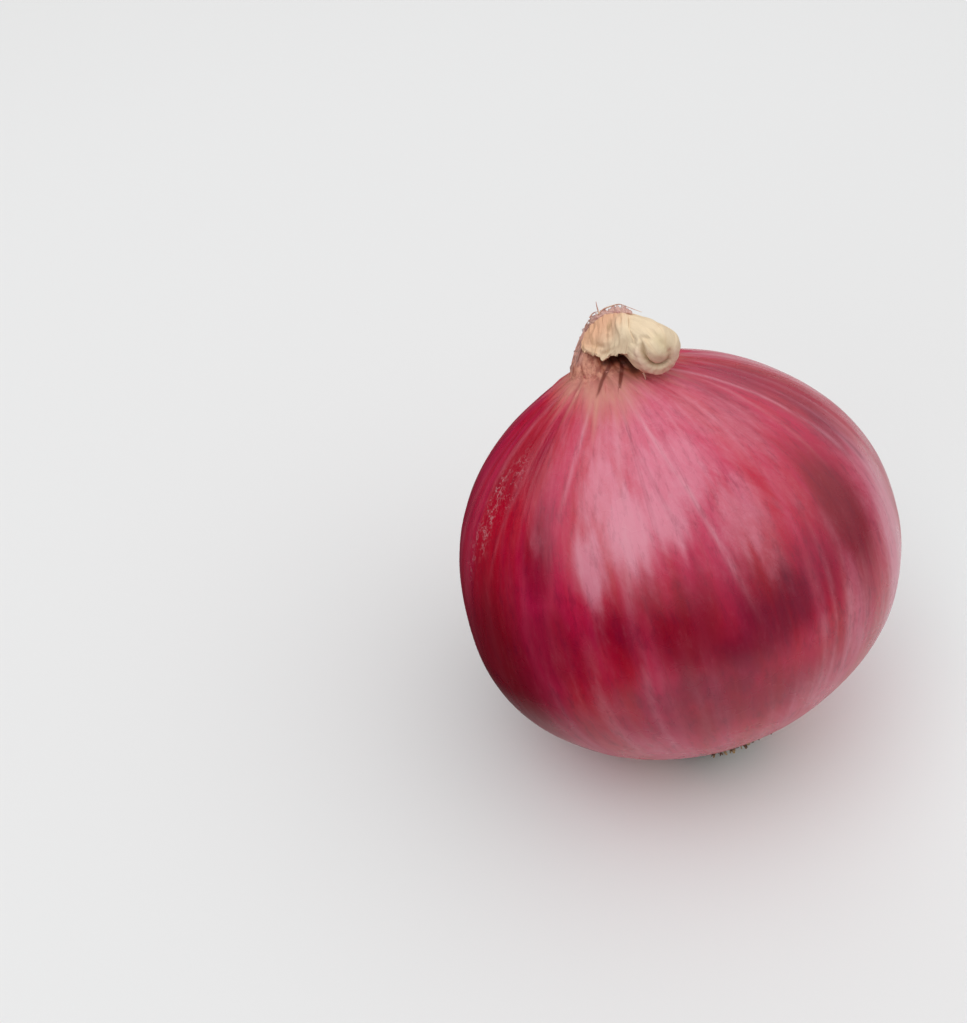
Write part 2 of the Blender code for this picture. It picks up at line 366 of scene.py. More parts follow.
# %% Bulb tree
# How far the grid runs on past the top of the bulb, in radians, for the rise of the throat
PAST_TOP = 0.10
BULB_SIZES = {
    "Around": 720,
    "Up": 131,
    "Equator Radius": EQUATOR_R,
    "Root Side": ROOT_SIDE,
    "Neck Side": NECK_SIDE,
    "Throat Radius": THROAT_R,
    "Throat Rise": THROAT_RISE,
    "Crease Depth": CREASE_DEPTH,
    "Rib Share": 0.0035,
    "Vein Height": 0.10 * MM,
    "Dent Depth": 0.30 * MM,
}


def bulb_tree(material):
    tree, size = new_tree("bulb shape", BULB_SIZES)
    grid = node(tree, "GeometryNodeMeshGrid", Size_X=1.0, Size_Y=1.0,
                Vertices_X=size["Around"], Vertices_Y=size["Up"])
    flat_x, flat_y, _ = split(tree, tree.nodes.new("GeometryNodeInputPosition").outputs[0])
    angle = (flat_x + 0.5) * (2 * math.pi)
    share = flat_y + 0.5

    # Latitude runs from the root plate to the throat, in radians, and a little past it for the rise
    lowest = math.asin(PLATE_HEIGHT / ROOT_SIDE)
    highest = math.pi / 2 + PAST_TOP
    latitude = share * (highest - lowest) + lowest
    below = latitude.low(0.0)
    above = latitude.high(0.0).low(math.pi / 2)
    low_part = (-below.do("SINE")).high(0.0)
    high_part = above.do("SINE")
    rise = (latitude - math.pi / 2).high(0.0) / PAST_TOP * size["Throat Rise"]
    height = high_part * size["Neck Side"] - low_part * size["Root Side"] + rise

    root_radius = (1 - low_part ** ROOT_ROUND).high(0.0) ** ROOT_FULLNESS
    dome = (1 - high_part ** NECK_ROUND).high(0.0) ** NECK_FULLNESS * size["Equator Radius"]
    blend = THROAT_BLEND
    throat = size["Throat Radius"]
    full = (size["Equator Radius"] ** blend + throat ** blend) ** (1 / blend)
    radius = (dome ** blend + throat ** blend) ** (1 / blend) / full * size["Equator Radius"]
    radius = radius * root_radius

    # Lobes, broad ribs, and creases that gather at the throat
    radius = radius * (1 + OVAL * ((angle - math.radians(OVAL_AT)) * 2).do("COSINE"))
    radius = radius * (1 + TRIPLE * ((angle - math.radians(TRIPLE_AT)) * 3).do("COSINE"))
    fade = (1 - high_part ** 4) * (1 - low_part ** 4)
    wave = (angle * RIBS + 0.9 * (angle * 2).do("SINE")).do("COSINE")
    radius = radius * (1 + size["Rib Share"] * fade * wave)
    degrees = angle * (180 / math.pi)
    near = height.bell(NECK_SIDE, CREASE_REACH)
    for crease in CREASES:
        off = (degrees - crease).do("WRAP", 180.0, -180.0)
        radius = radius - size["Crease Depth"] * near * off.bell(0.0, CREASE_WIDTH)

    # Fine veins that run from pole to pole, and slow dents
    side, front = angle.do("COSINE"), angle.do("SINE")
    way = (side, front, latitude)
    veins = round_noise(tree, way, 9.0, 0.5, detail=3.0)
    fine = round_noise(tree, way, 30.0, 0.8, detail=2.0)
    gather = (1 + 0.8 * latitude.ramp(0.70, 1.00)) * latitude.ramp(1.18, 1.05)
    radius = radius + size["Vein Height"] * ((veins - 0.5) * 1.6 + (fine - 0.5) * 0.7) * gather
    dents = round_noise(tree, way, 1.6, 1.3, detail=1.0)
    radius = radius + size["Dent Depth"] * (dents - 0.5) * fade

    # The last rows close the two ends
    rows = size["Up"] - 1
    closing = (share * rows / 2).low(1.0) * ((1 - share) * rows / 2).low(1.0)
    radius = radius * closing

    # The axis bows, and swings to the root plate and to the throat
    bent = height.low(size["Neck Side"]) / size["Equator Radius"]
    bow = AXIS_BEND * EQUATOR_R * (bent * bent)
    root_swing = low_part ** 6.0
    throat_swing = ((high_part - 0.8) / 0.2).high(0.0) ** 4.0
    x = side * radius + bow + ROOT_SHIFT[0] * root_swing + THROAT_SHIFT * throat_swing
    y = front * radius + ROOT_SHIFT[1] * root_swing
    # The way round is stored first, while the points still lie on the flat grid. Latitude 1 is the top.
    flat = store(tree, grid.outputs["Mesh"], "around", join(tree, side, front, latitude * (2 / math.pi)))
    shaped = node(tree, "GeometryNodeSetPosition", Geometry=flat,
                  Position=join(tree, x, y, height)).outputs[0]

    # Lean it over, set it down, and press its lowest part flat
    leaned = node(tree, "GeometryNodeTransform", Geometry=shaped, Translation=MIDDLE,
                  Rotation=LEAN_TURNS).outputs[0]
    px, py, pz = split(tree, tree.nodes.new("GeometryNodeInputPosition").outputs[0])
    pressed = node(tree, "GeometryNodeSetPosition", Geometry=leaned,
                   Position=join(tree, px, py, pz.high(0.0))).outputs[0]
    merged = node(tree, "GeometryNodeMergeByDistance", Geometry=pressed, Distance=1e-6).outputs[0]
    end_tree(tree, merged, material)
    return tree


print("bulb inputs:", ", ".join(BULB_SIZES))

# %% [markdown]
# ## The colour of the skin
# Dry onion skin is thin layers of coloured film over pale flesh. Where two layers cross the red deepens,
# and where a vein or a thin place lets the flesh through there is a pale streak. All of it runs along the
# meridians, so the material reads the stored direction round the axis, stretched along the height.

# %% Skin material
DEEP_RED = (0.51, 0.0012, 0.024, 1)
CRIMSON = (0.56, 0.009, 0.076, 1)
# Wine red of the double film, also used for the painted shade on the left side
WINE_AND_SHADE_RED = (0.215, 0.0006, 0.011, 1)
MAROON = (0.165, 0.001, 0.026, 1)
# Pink of the bloom and of the painted highlight in it
BLOOM_AND_HIGHLIGHT_PINK = (0.72, 0.220, 0.310, 1)
PALE_PINK = (0.72, 0.29, 0.365, 1)
PEACH = (0.62, 0.245, 0.195, 1)
WORN_PINK = (0.66, 0.40, 0.43, 1)
# Brown of the painted shade in the creases at the throat
CREASE_SHADE_BROWN = (0.17, 0.035, 0.02, 1)


def mixed(tree, share, under, over):
    made = tree.nodes.new("ShaderNodeMix")
    made.data_type = "RGBA"
    feed(tree, made.inputs["Factor"], share)
    feed(tree, made.inputs["A"], under)
    feed(tree, made.inputs["B"], over)
    return made.outputs["Result"]


def painted(tree, colour, *layers):
    """Lays colours over one another, each with the share that it covers."""
    for cover, over in layers:
        colour = mixed(tree, cover, colour, over)
    return colour


def stored(tree, name, vector=False):
    made = tree.nodes.new("ShaderNodeAttribute")
    made.attribute_name = name
    if vector:
        return made.outputs["Vector"]
    return Field(tree, made.outputs["Fac"])


def new_material(name):
    material = bpy.data.materials.new(name)
    material.use_nodes = True
    return material, material.node_tree, material.node_tree.nodes["Principled BSDF"]


def bumped(tree, height, strength, distance):
    return node(tree, "ShaderNodeBump", Height=height, Strength=strength,
                Distance=distance).outputs[0]


def skin_colours(tree):
    """The colour of the dry skin, with its painted highlight and painted shade, its relief and its wear, at
    any point that knows its way round.
    """
    way = split(tree, stored(tree, "around", vector=True))

    def grain(fineness, stretch, detail, roughness, **others):
        return round_noise(tree, way, fineness, stretch, detail=detail, roughness=roughness, **others)

    # Slow changes of red, deeper where two layers of film lie close, and painted shade low on the left side
    body = grain(3.6, 1.3, 4.0, 0.6).ramp(0.36, 0.66)
    # The bloom and its painted highlight lie thick or thin, so their edge breaks up into flecks drawn out
    # along the fibres
    mottle = grain(12.0, 9.0, 7.0, 0.72, twist=0.7, distortion=0.6)
    bloom_and_highlight = (stored(tree, "bloom_and_highlight") + (mottle - 0.5) * 0.62).ramp(0.02, 1.02)
    # Clouds of maroon over both
    clouds = grain(2.6, 3.0, 5.0, 0.62).ramp(0.52, 0.76)
    streaky = grain(15.0, 2.2, 3.0, 0.6).ramp(0.28, 0.62, 0.55, 1.0)
    dusk = (clouds * 0.28 * (1 - 0.7 * bloom_and_highlight) + stored(tree, "dark") * 0.95).low(1.0) * streaky
    colour = painted(tree, mixed(tree, body, DEEP_RED, CRIMSON),
                     (stored(tree, "deep"), WINE_AND_SHADE_RED), (bloom_and_highlight, BLOOM_AND_HIGHLIGHT_PINK), (dusk, MAROON))

    # Pale rays, broken up, then the fine lines of both layers
    broken = grain(18.0, 8.0, 5.0, 0.68).ramp(0.34, 0.62, 0.35, 1.0)
    thick = 1 - 0.75 * stored(tree, "deep")
    lines = grain(30.0, 1.0, 4.0, 0.62)
    crossing = grain(24.0, 1.0, 4.0, 0.6, twist=0.30)
    light_lines = lines.ramp(0.56, 0.78) * 0.18 + crossing.ramp(0.57, 0.80) * 0.16
    dark_lines = crossing.ramp(0.45, 0.24) * 0.20 + lines.ramp(0.43, 0.22) * 0.22
    # Fine depth: darker and lighter flecks of all sizes, a little drawn out
    flecks = grain(26.0, 14.0, 8.0, 0.72)
    # The light lines and the pale flecks are strongest under the bloom and its painted highlight
    colour = painted(tree, colour,
                     (stored(tree, "pale") * broken * thick, PALE_PINK),
                     (light_lines * (0.06 + 0.94 * bloom_and_highlight), PALE_PINK),
                     (dark_lines, MAROON),
                     (flecks.ramp(0.50, 0.34) * (0.34 - 0.14 * bloom_and_highlight), MAROON),
                     (flecks.ramp(0.52, 0.70) * (0.05 + 0.22 * bloom_and_highlight), PALE_PINK))

    # Tiny cells that show in the bloom and its painted highlight, and scuffs where the film has worn into a
    # fine net
    spot = node(tree, "ShaderNodeTexCoord").outputs["Object"]
    cells = noise(tree, spot, scale=950.0, detail=4.0, roughness=0.72).ramp(0.46, 0.70)
    net = node(tree, "ShaderNodeTexVoronoi", {"feature": "DISTANCE_TO_EDGE"}, Vector=spot, Scale=1700.0)
    worn = noise(tree, spot, scale=800.0, detail=5.0, roughness=0.75).ramp(0.46, 0.60)
    scuffed = Field(tree, net.outputs[0]).ramp(0.22, 0.04) * stored(tree, "scuff") * worn
    # Towards the neck and the roots the red thins out to peach, and the creases at the throat get a painted
    # brown shade
    patchy = grain(6.0, 7.0, 4.0, 0.6).ramp(0.25, 0.7, 0.7, 1.2)
    colour = painted(tree, colour,
                     (cells * (0.01 + 0.20 * bloom_and_highlight), PALE_PINK),
                     (scuffed * 0.58, WORN_PINK),
                     ((stored(tree, "tip") * patchy).low(1.0), PEACH),
                     (stored(tree, "crease") * patchy.low(1.0), CREASE_SHADE_BROWN))
    relief = lines * 0.5 + crossing * 0.5 + noise(tree, spot, scale=700.0, detail=2.0) * 0.05
    return colour, relief, scuffed


def skin_material():
    material, tree, shader = new_material("onion_skin")
    colour, relief, scuffed = skin_colours(tree)
    tree.links.new(colour, shader.inputs["Base Color"])
    tree.links.new(bumped(tree, relief, 0.20, 0.25 * MM), shader.inputs["Normal"])
    spot = node(tree, "ShaderNodeTexCoord").outputs["Object"]
    rough = noise(tree, spot, scale=140.0, detail=3.0).ramp(0.3, 0.7, 0.23, 0.34)
    feed(tree, shader.inputs["Roughness"], (rough + stored(tree, "tip") * 0.25 + scuffed * 0.25).low(0.8))
    shader.inputs["Specular IOR Level"].default_value = 0.48
    return material


skin = skin_material()
print("skin material has", len(skin.node_tree.nodes), "nodes")

# %% [markdown]
# ## Where the streaks and patches lie
# The broad marks of this onion are listed one by one, each with an angle round the axis, a width, and the
# latitudes between which it shows. Random finer ones fill the sides that the photo doesn't show. They
# are kept as numbers on the points of the mesh, because their shapes are softer than the grid.

# %% Marks on the skin
# Each ray: angle, half width, lowest and highest latitude, in degrees, and strength
PALE_RAYS = (
    (213, 0.8, 33, 52, 0.20), (221, 0.8, 38, 62, 0.16), (241, 0.9, 20, 36, 0.40),
    (247, 0.9, 45, 74, 0.34), (262, 0.7, 50, 76, 0.26), (283, 0.8, 40, 74, 0.24),
    (290, 0.6, 45, 72, 0.16), (299, 1.1, 38, 70, 0.36), (311, 0.6, 45, 70, 0.20),
    (320, 0.8, 30, 72, 0.24), (337, 0.7, 20, 70, 0.25), (345, 1.4, 5, 70, 0.30),
    (350, 0.7, 10, 60, 0.30), (226, 1.4, -40, -4, 0.20), (233, 1.0, -30, 4, 0.12),
    (239, 1.9, -44, 0, 0.30), (252, 1.2, -46, 2, 0.26), (262, 0.7, -55, -26, 0.14),
    (269, 1.0, -55, -26, 0.22), (283, 1.3, -55, -24, 0.20), (291, 0.7, -55, -26, 0.20),
    (299, 1.5, -40, 4, 0.34), (303, 0.8, -34, 14, 0.26), (309, 1.7, -34, 16, 0.40),
    (316, 1.2, -34, 10, 0.26), (325, 1.6, -30, 18, 0.22),
)
# How far a ray slants round the axis for each degree of latitude, and rays with a slant of their own
SLANT = 0.03
SLANTED_RAYS = (
    (235, 1.1, 42, 72, 0.62, 0.22), (255, 1.5, 8, 62, 0.42, 0.12), (274, 0.9, 10, 76, 0.72, -0.19),
    (214, 0.8, 22, 48, 0.18, 0.30), (329, 1.1, 26, 76, 0.62, -0.20), (268, 1.0, 56, 78, 0.40, 0.10),
)
RANDOM_RAYS = 90
# The angles between which the photo shows the onion: random rays are faint there
SEEN_FROM, SEEN_TO = 205, 350
# Each patch: angle, latitude, half width, half height, strength. First the patches that turn the red to
# maroon.
DARK_PATCHES = (
    (290, 2, 7, 9, 0.74), (276, -8, 10, 7, 0.66), (283, -1, 7, 8, 0.70), (264, -16, 20, 6, 0.55),
    (245, 7, 5, 5, 0.45), (295, 12, 4, 7, 0.12), (317, 13, 7, 13, 0.12), (338, 26, 3, 6, 0.40),
    (300, 7, 6, 10, 0.50), (337, 36, 5, 10, 0.34), (334, 33, 7, 7, 0.50), (335, 58, 14, 8, 0.36),
    (229, 36, 3, 6, 0.20), (120, 10, 16, 20, 0.4), (30, 0, 14, 16, 0.45), (75, -24, 60, 14, 0.40),
    (70, 30, 12, 12, 0.35), (160, -10, 12, 16, 0.4), (262, -24, 40, 8, 0.22),
)
# Where two layers of film lie close and the red is wine; the large patch low on the left side is painted
# shade
WINE_AND_SHADE_PATCHES = (
    (204, -8, 19, 28, 0.90), (228, 4, 10, 12, 0.55), (263, 3, 10, 13, 0.75), (249, 5, 7, 10, 0.45),
    (227, 26, 5, 11, 0.62), (259, 12, 7, 5, 0.55), (316, 13, 9, 18, 0.82), (284, 4, 12, 12, 0.50),
    (212, 50, 14, 12, 0.35), (272, -6, 16, 9, 0.50), (340, 46, 14, 16, 0.40), (315, 2, 6, 16, 0.50),
    (20, 10, 30, 24, 0.4), (110, -5, 40, 16, 0.4), (170, 30, 14, 20, 0.35), (272, -27, 22, 10, 0.42),
    (309, 50, 9, 10, 0.32), (258, 12, 5, 9, 0.40),
)
# The dusty pink bloom, with a painted highlight of the broad sheen laid into it
BLOOM_AND_HIGHLIGHT_PATCHES = (
    (243, 25, 4.5, 10, 0.82), (255, 31, 7.5, 11, 1.0), (249, 42, 9, 12, 0.72), (266, 34, 7, 9, 0.88),
    (257, 53, 18, 13, 0.60), (272, 44, 17, 13, 0.74), (286, 26, 8, 11, 0.60), (274, 22, 7, 8, 0.20),
    (299, 50, 18, 15, 0.46), (301, 28, 7, 9, 0.26), (227, 33, 2.5, 4, 0.28), (289, 14, 4, 8, 0.36),
    (222, 46, 10, 12, 0.18), (240, -47, 15, 21, 0.36), (266, -58, 26, 25, 0.20), (298, -42, 14, 18, 0.34),
    (310, -12, 5, 18, 0.40), (337, -4, 10, 36, 0.85), (352, 30, 12, 24, 0.12), (60, 20, 30, 16, 0.4),
    (130, 26, 20, 18, 0.4), (90, -50, 90, 16, 0.46),
)
# Where the film has worn
SCUFFS = ((203, 38, 3.2, 10, 0.9), (198, 26, 2.6, 6, 0.6), (210, 47, 4.0, 7, 0.5), (96, 30, 6, 12, 0.5))


def turned_from(angle, middle):
    """Degrees from one angle to another, the short way round."""
    return (angle - middle + 180) % 360 - 180


def patches(angle, latitude, rows, edge, crisp=2.6):
    """Soft patches whose edges are drawn out along the fibres by the given ragged edge."""
    total = np.zeros_like(angle)
    for middle, level, wide, tall, strength in rows:
        off = (turned_from(angle, middle) / wide) ** 2 + ((latitude + edge - level) / tall) ** 2
        total = np.maximum(total, strength / (1 + off ** crisp))
    return np.clip(total, 0, 1)


def ragged(angle, seed, finest=90, power=0.6):
    """A repeatable uneven line round the axis, between about -1 and 1."""
    rng = np.random.default_rng(seed)
    total, weight = np.zeros_like(angle), 0.0
    for count in range(7, finest, 4):
        size = count ** -power
        total += size * np.cos(np.radians(angle) * count + rng.uniform(0, 2 * math.pi))
        weight += size * size
    return total / math.sqrt(weight)


def mark_skin(obj):
    """Stores the strength of each kind of mark at every point that knows its way round."""
    around = read(obj, "around")
    angle = np.degrees(np.arctan2(around[:, 1], around[:, 0])) % 360
    latitude = np.minimum(around[:, 2], 1.02) * 90
    rng = np.random.default_rng(7)
    rows = [(*ray, SLANT) for ray in PALE_RAYS] + list(SLANTED_RAYS)
    for _ in range(RANDOM_RAYS):
        middle = rng.uniform(0, 360)
        strongest = 0.11 if SEEN_FROM < middle < SEEN_TO else 0.36
        start = rng.uniform(-60, 45)
        rows.append((middle, rng.uniform(0.4, 1.0) ** 2 * 3.0, start, start + rng.uniform(20, 80),
                     rng.uniform(0.03, strongest), SLANT))
    pale = np.zeros_like(angle)
    for middle, wide, lowest, highest, strength, slant in rows:
        drift = slant * (latitude - 40) + 0.5 * np.sin(latitude / 9 + middle)
        spread = wide * (1 + 1.2 * np.clip((latitude - 50) / 30, 0, 1) ** 2)
        band = np.exp(-(turned_from(angle, middle + drift) / spread) ** 2)
        window = (1 / (1 + np.exp(-(latitude - lowest) / 4))) * (1 / (1 + np.exp((latitude - highest) / 5)))
        pale = np.maximum(pale, strength * band * window)
    # The bloom with its painted highlight: its patches, and a thin painted sheen over the shoulder,
    # thickest at the front
    edge = 2.4 * ragged(angle, 21, 150, 0.45)
    shoulder = 1 / (1 + np.exp(-(latitude + edge - 42) / 6))
    to_front = 0.5 + 0.5 * np.cos(np.radians(angle - 276))
    bloom_and_highlight = np.maximum(patches(angle, latitude, BLOOM_AND_HIGHLIGHT_PATCHES, edge, 2.3),
                       (0.08 + 0.50 * to_front ** 6) * shoulder)
    # Peach at both ends, with ragged borders, and painted brown shade in the creases
    front_side = np.exp(-(turned_from(angle, 254) / 34) ** 2)
    tip = np.clip((latitude + 2.5 * ragged(angle, 4) - 66 + 9 * front_side) / 14, 0, 1) ** 1.3 * 0.9
    tip = np.maximum(tip, np.clip((-latitude - 52 + 2.0 * ragged(angle, 5)) / 16, 0, 1) ** 1.6 * 0.80)
    crease = np.zeros_like(angle)
    for middle in CREASES:
        line = np.exp(-(turned_from(angle, middle) / 2.6) ** 2)
        crease = np.maximum(crease, line * np.clip((latitude - 70) / 12, 0, 1))
    write(obj, "pale", pale)
    write(obj, "dark", patches(angle, latitude, DARK_PATCHES, 2.0 * ragged(angle, 8)))
    write(obj, "deep", patches(angle, latitude, WINE_AND_SHADE_PATCHES, 2.5 * ragged(angle, 12)))
    write(obj, "bloom_and_highlight", bloom_and_highlight)
    write(obj, "scuff", patches(angle, latitude, SCUFFS, 2.0 * ragged(angle, 9)))
    write(obj, "tip", tip)
    write(obj, "crease", crease * 0.6)
    print("rays:", len(rows), "dark patches:", len(DARK_PATCHES), "scuffs:", len(SCUFFS))


bulb = grow("bulb_skin", bulb_tree(skin), BULB_SIZES)
mark_skin(bulb)
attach(bulb, "root")
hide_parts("bulb")

# %% [markdown]
# ## The neck
# Above the bulb the leaves are dry. They stand up as one pleated tube, fold over to the front and end in
# a rolled, open tip. The tube follows a smooth line with its own widths along the way, finer than the
# solid's, with pleats that twist along it. The end is dished: a rim, a groove, and a tongue of inner leaf.

# %% Neck line and smooth curve
# x, y, z of the middle line, half width across, half thickness outside and inside the fold, in mm
NECK_LINE = (
    (-3.00, 0.10, 33.25, 5.00, 5.00, 5.00),
    (-2.55, 0.70, 34.50, 4.20, 4.20, 3.70),
    (-1.60, 0.55, 35.80, 3.75, 3.60, 2.10),
    (-0.05, -1.45, 36.75, 3.40, 3.10, 2.50),
    (1.55, -4.10, 36.85, 3.30, 3.05, 2.90),
    (2.85, -6.80, 36.10, 3.35, 3.35, 3.30),
    (3.60, -9.00, 35.25, 3.40, 3.55, 3.50),
    (3.85, -10.40, 34.70, 3.15, 3.35, 3.30),
)


def smooth_rows(points, count):
    """Smooth run of rows through the given ones."""
    rows = np.array(points, float)
    out = []
    for step in np.linspace(0, len(rows) - 1, count):
        i = min(int(step), len(rows) - 2)
        t = step - i
        before, after = rows[max(i - 1, 0)], rows[min(i + 2, len(rows) - 1)]
        a, b = rows[i], rows[i + 1]
        out.append(0.5 * (2 * a + (b - before) * t + (2 * before - 5 * a + 4 * b - after) * t * t
                          + (3 * a - before - 3 * b + after) * t ** 3))
    return np.array(out)


def body_from_rings(name, rings, material, marks):
    """A closed piece from rings of points, with a hub at each end, and the marks of each point."""
    steps, count = rings.shape[:2]
    hubs = np.array([rings[0].mean(0), rings[-1].mean(0)])
    points = np.vstack([rings.reshape(-1, 3), hubs])
    faces = tube_faces(steps, count, ends=False)
    last = (steps - 1) * count
    for i in range(count):
        j = (i + 1) % count
        faces += [(j, i, steps * count), (last + i, last + j, steps * count + 1)]
    flat = {}
    for mark, values in marks.items():
        ends = np.array([values[0].mean(0), values[-1].mean(0)])
        flat[mark] = np.concatenate([values.reshape(-1, *values.shape[2:]), ends])
    return new_piece(name, points, faces, material, flat)


print("neck line is", round(float(np.abs(np.diff(smooth_rows(NECK_LINE, 60)[:, :3], axis=0)).sum()), 1),
      "mm along its steps")

# %% Neck shape
SKIRT_STEPS, STEM_STEPS, TIP_STEPS, NECK_AROUND = 44, 92, 38, 360
# Latitude where the neck's skirt starts on the bulb, and its height above the skin in mm
SKIRT_LATITUDE, SKIRT_RAGGED = 66.0, 3.5
SKIRT_SUNK, SKIRT_LIFT = -0.10, 0.26
# The share of the stem over which the foot blends in, and the share where the tip starts to close
FOOT_SHARE = 0.22
TIP_START, TIP_ROUND = 0.84, 3.0
FOOT_PASSES, FOOT_REACH = 150, 14


def wobble(a, share, seed, waves=7):
    """A smooth pattern of pleats round the tube that drifts along it."""
    rng = np.random.default_rng(seed)
    total = np.zeros_like(a)
    for _ in range(waves):
        count = rng.integers(3, 24)
        total += rng.uniform(0.4, 1.0) / math.sqrt(count) * np.cos(
            count * a + rng.uniform(0, 2 * math.pi) + rng.uniform(-5, 5) * share)
    return total / math.sqrt(waves)


def bulb_point(a, latitude, off=0.0):
    """Points of the bulb's surface near the throat in mm, from angles and latitudes in degrees."""
    turn = np.radians(a)
    high = np.sin(np.radians(np.clip(latitude, 0, 90)))
    big, neck_z, throat = EQUATOR_R / MM, NECK_SIDE / MM, THROAT_R / MM
    z = neck_z * high
    dome = big * (1 - high ** NECK_ROUND).clip(0) ** NECK_FULLNESS
    power = THROAT_BLEND
    full = (big ** power + throat ** power) ** (1 / power)
    radius = (dome ** power + throat ** power) ** (1 / power) * big / full
    radius = radius * (1 + OVAL * np.cos(2 * (turn - math.radians(OVAL_AT))))
    radius = radius * (1 + TRIPLE * np.cos(3 * (turn - math.radians(TRIPLE_AT)))) + off
    near = np.exp(-((neck_z - z) / (CREASE_REACH / MM)) ** 2)
    for crease in CREASES:
        pinch = near * np.exp(-(turned_from(a, crease) / CREASE_WIDTH) ** 2)
        radius = radius - CREASE_DEPTH / MM * pinch
    x = radius * np.cos(turn) + AXIS_BEND * big * (z / big) ** 2
    x = x + THROAT_SHIFT / MM * ((high - 0.8) / 0.2).clip(0) ** 4
    return np.stack([x, radius * np.sin(turn), z + off * high], -1)


def surface_normals(rings):
    """Outward direction at each point of a tube made of rings."""
    along = np.gradient(rings, axis=0)
    round_it = np.roll(rings, -1, 1) - np.roll(rings, 1, 1)
    out = np.cross(round_it, along)
    return out / np.maximum(np.linalg.norm(out, axis=-1, keepdims=True), 1e-9)


def near_line(points, line):
    """Distance of every point to a run of straight pieces, and how far along it the nearest place is."""
    best = np.full(points.shape[:-1], 1e9)
    place = np.zeros_like(best)
    line = np.array(line, float)
    for k in range(len(line) - 1):
        step = line[k + 1] - line[k]
        t = ((points - line[k]) @ step / (step @ step)).clip(0, 1)
        gap = np.linalg.norm(points - line[k] - t[..., None] * step, axis=-1)
        nearer = gap < best
        best = np.where(nearer, gap, best)
        place = np.where(nearer, (k + t) / (len(line) - 1), place)
    return best, place


def neck_rings():
    """Rings from a ragged edge on the bulb's shoulder, up the stem and over to the rounded tip."""
    a = np.linspace(0, 2 * math.pi, NECK_AROUND, endpoint=False)
    degrees = np.degrees(a)
    rings, marks = [], []
    edge = SKIRT_LATITUDE + SKIRT_RAGGED * ragged(degrees, 31, 60, 0.4)
    for j in range(SKIRT_STEPS):
        share = j / SKIRT_STEPS
        latitude = edge + (90 - edge) * share ** 0.9
        rings.append(bulb_point(degrees, latitude, SKIRT_SUNK + SKIRT_LIFT * min(share * 4, 1)))
        marks.append(latitude / 90)
    foot = bulb_point(degrees, np.full_like(a, 90.0), SKIRT_SUNK + SKIRT_LIFT) + (0, 0, THROAT_RISE / MM)
    # Even steps up the stem, then steps that close round the tip like a quarter turn
    quarter = np.linspace(0, math.pi / 2, TIP_STEPS + 1)[1:]
    shares = np.concatenate([np.linspace(0, TIP_START, STEM_STEPS),
                             TIP_START + (1 - TIP_START) * np.sin(quarter) ** (2 / TIP_ROUND)])
    fine = smooth_rows(NECK_LINE, 600)
    run = np.concatenate([[0], np.cumsum(np.linalg.norm(np.diff(fine[:, :3], axis=0), axis=1))])
    rows = np.stack([np.interp(shares, run / run[-1], column) for column in fine.T], 1)
    side = np.array((1.0, 0.0, 0.0))
    for i, share in enumerate(shares):
        ahead = rows[min(i + 1, len(rows) - 1)][:3] - rows[max(i - 1, 0)][:3]
        ahead = ahead / np.linalg.norm(ahead)
        side = side - side.dot(ahead) * ahead
        side = side / np.linalg.norm(side)
        depth = np.cross(ahead, side)
        across, outer, inner = rows[i][3:]
        through = np.where(np.sin(a) > 0, outer, inner)
        # Pleats, ridges and crumple all fade in from the foot, which stays round
        pleats = wobble(a, share * 1.5, 3) * 0.09
        ridges = (np.abs(np.sin(3.5 * a + 2.6 * share + 0.4)) - 0.6) * 0.055
        ridges += (np.abs(np.sin(8.0 * a - 1.5 * share)) - 0.6) * 0.030
        crumple = wobble(a + 0.5, share * 7, 11, 9) * 0.06 * min(share * 5, 1)
        size = 1 + (pleats + ridges) * (1.05 - 0.45 * share) * min(share * 7, 1) + crumple
        tip = max((share - TIP_START) / (1 - TIP_START), 0.0)
        closing = max(1 - min(tip, 1) ** TIP_ROUND, 0) ** (1 / TIP_ROUND)
        size = size * max(closing, 0.03) * (1 + 0.06 * min(max((share - 0.6) / 0.3, 0), 1))
        push = ahead * (1.05 * tip ** 2) + np.array((0.45, 0.0, -0.25)) * max((share - 0.6) / 0.4, 0.0)
        ring = (rows[i][:3] + push + (size * across * np.cos(a))[:, None] * side
                + (size * through * np.sin(a))[:, None] * depth)
        blend = max(1 - share / FOOT_SHARE, 0) ** 2
        rings.append(ring * (1 - blend) + foot * blend)
        marks.append(np.full_like(a, 1.0 + share))
    # The corner where the stem leaves the shoulder is smoothed over and over into a soft hollow
    rings = np.array(rings)
    soft = np.exp(-((np.arange(len(rings)) - SKIRT_STEPS) / FOOT_REACH) ** 2)[1:-1, None, None]
    for _ in range(FOOT_PASSES):
        middle = (rings[:-2] + 2 * rings[1:-1] + rings[2:]) / 4
        rings[1:-1] += soft * (middle - rings[1:-1])
    return rings, np.array(marks), a


# The rim of the dished end, and the dent on its right, each a line of points in mm
RIM_RIDGE = ((1.02, -10.79, 35.96), (1.21, -10.94, 34.59), (1.75, -10.47, 33.07), (2.77, -10.13, 32.20),
             (4.01, -9.80, 31.73), (5.32, -9.77, 32.10), (6.18, -10.62, 33.41), (6.52, -11.02, 34.53))
RIGHT_DENT = ((4.57, -11.37, 37.24), (5.22, -11.67, 35.77))
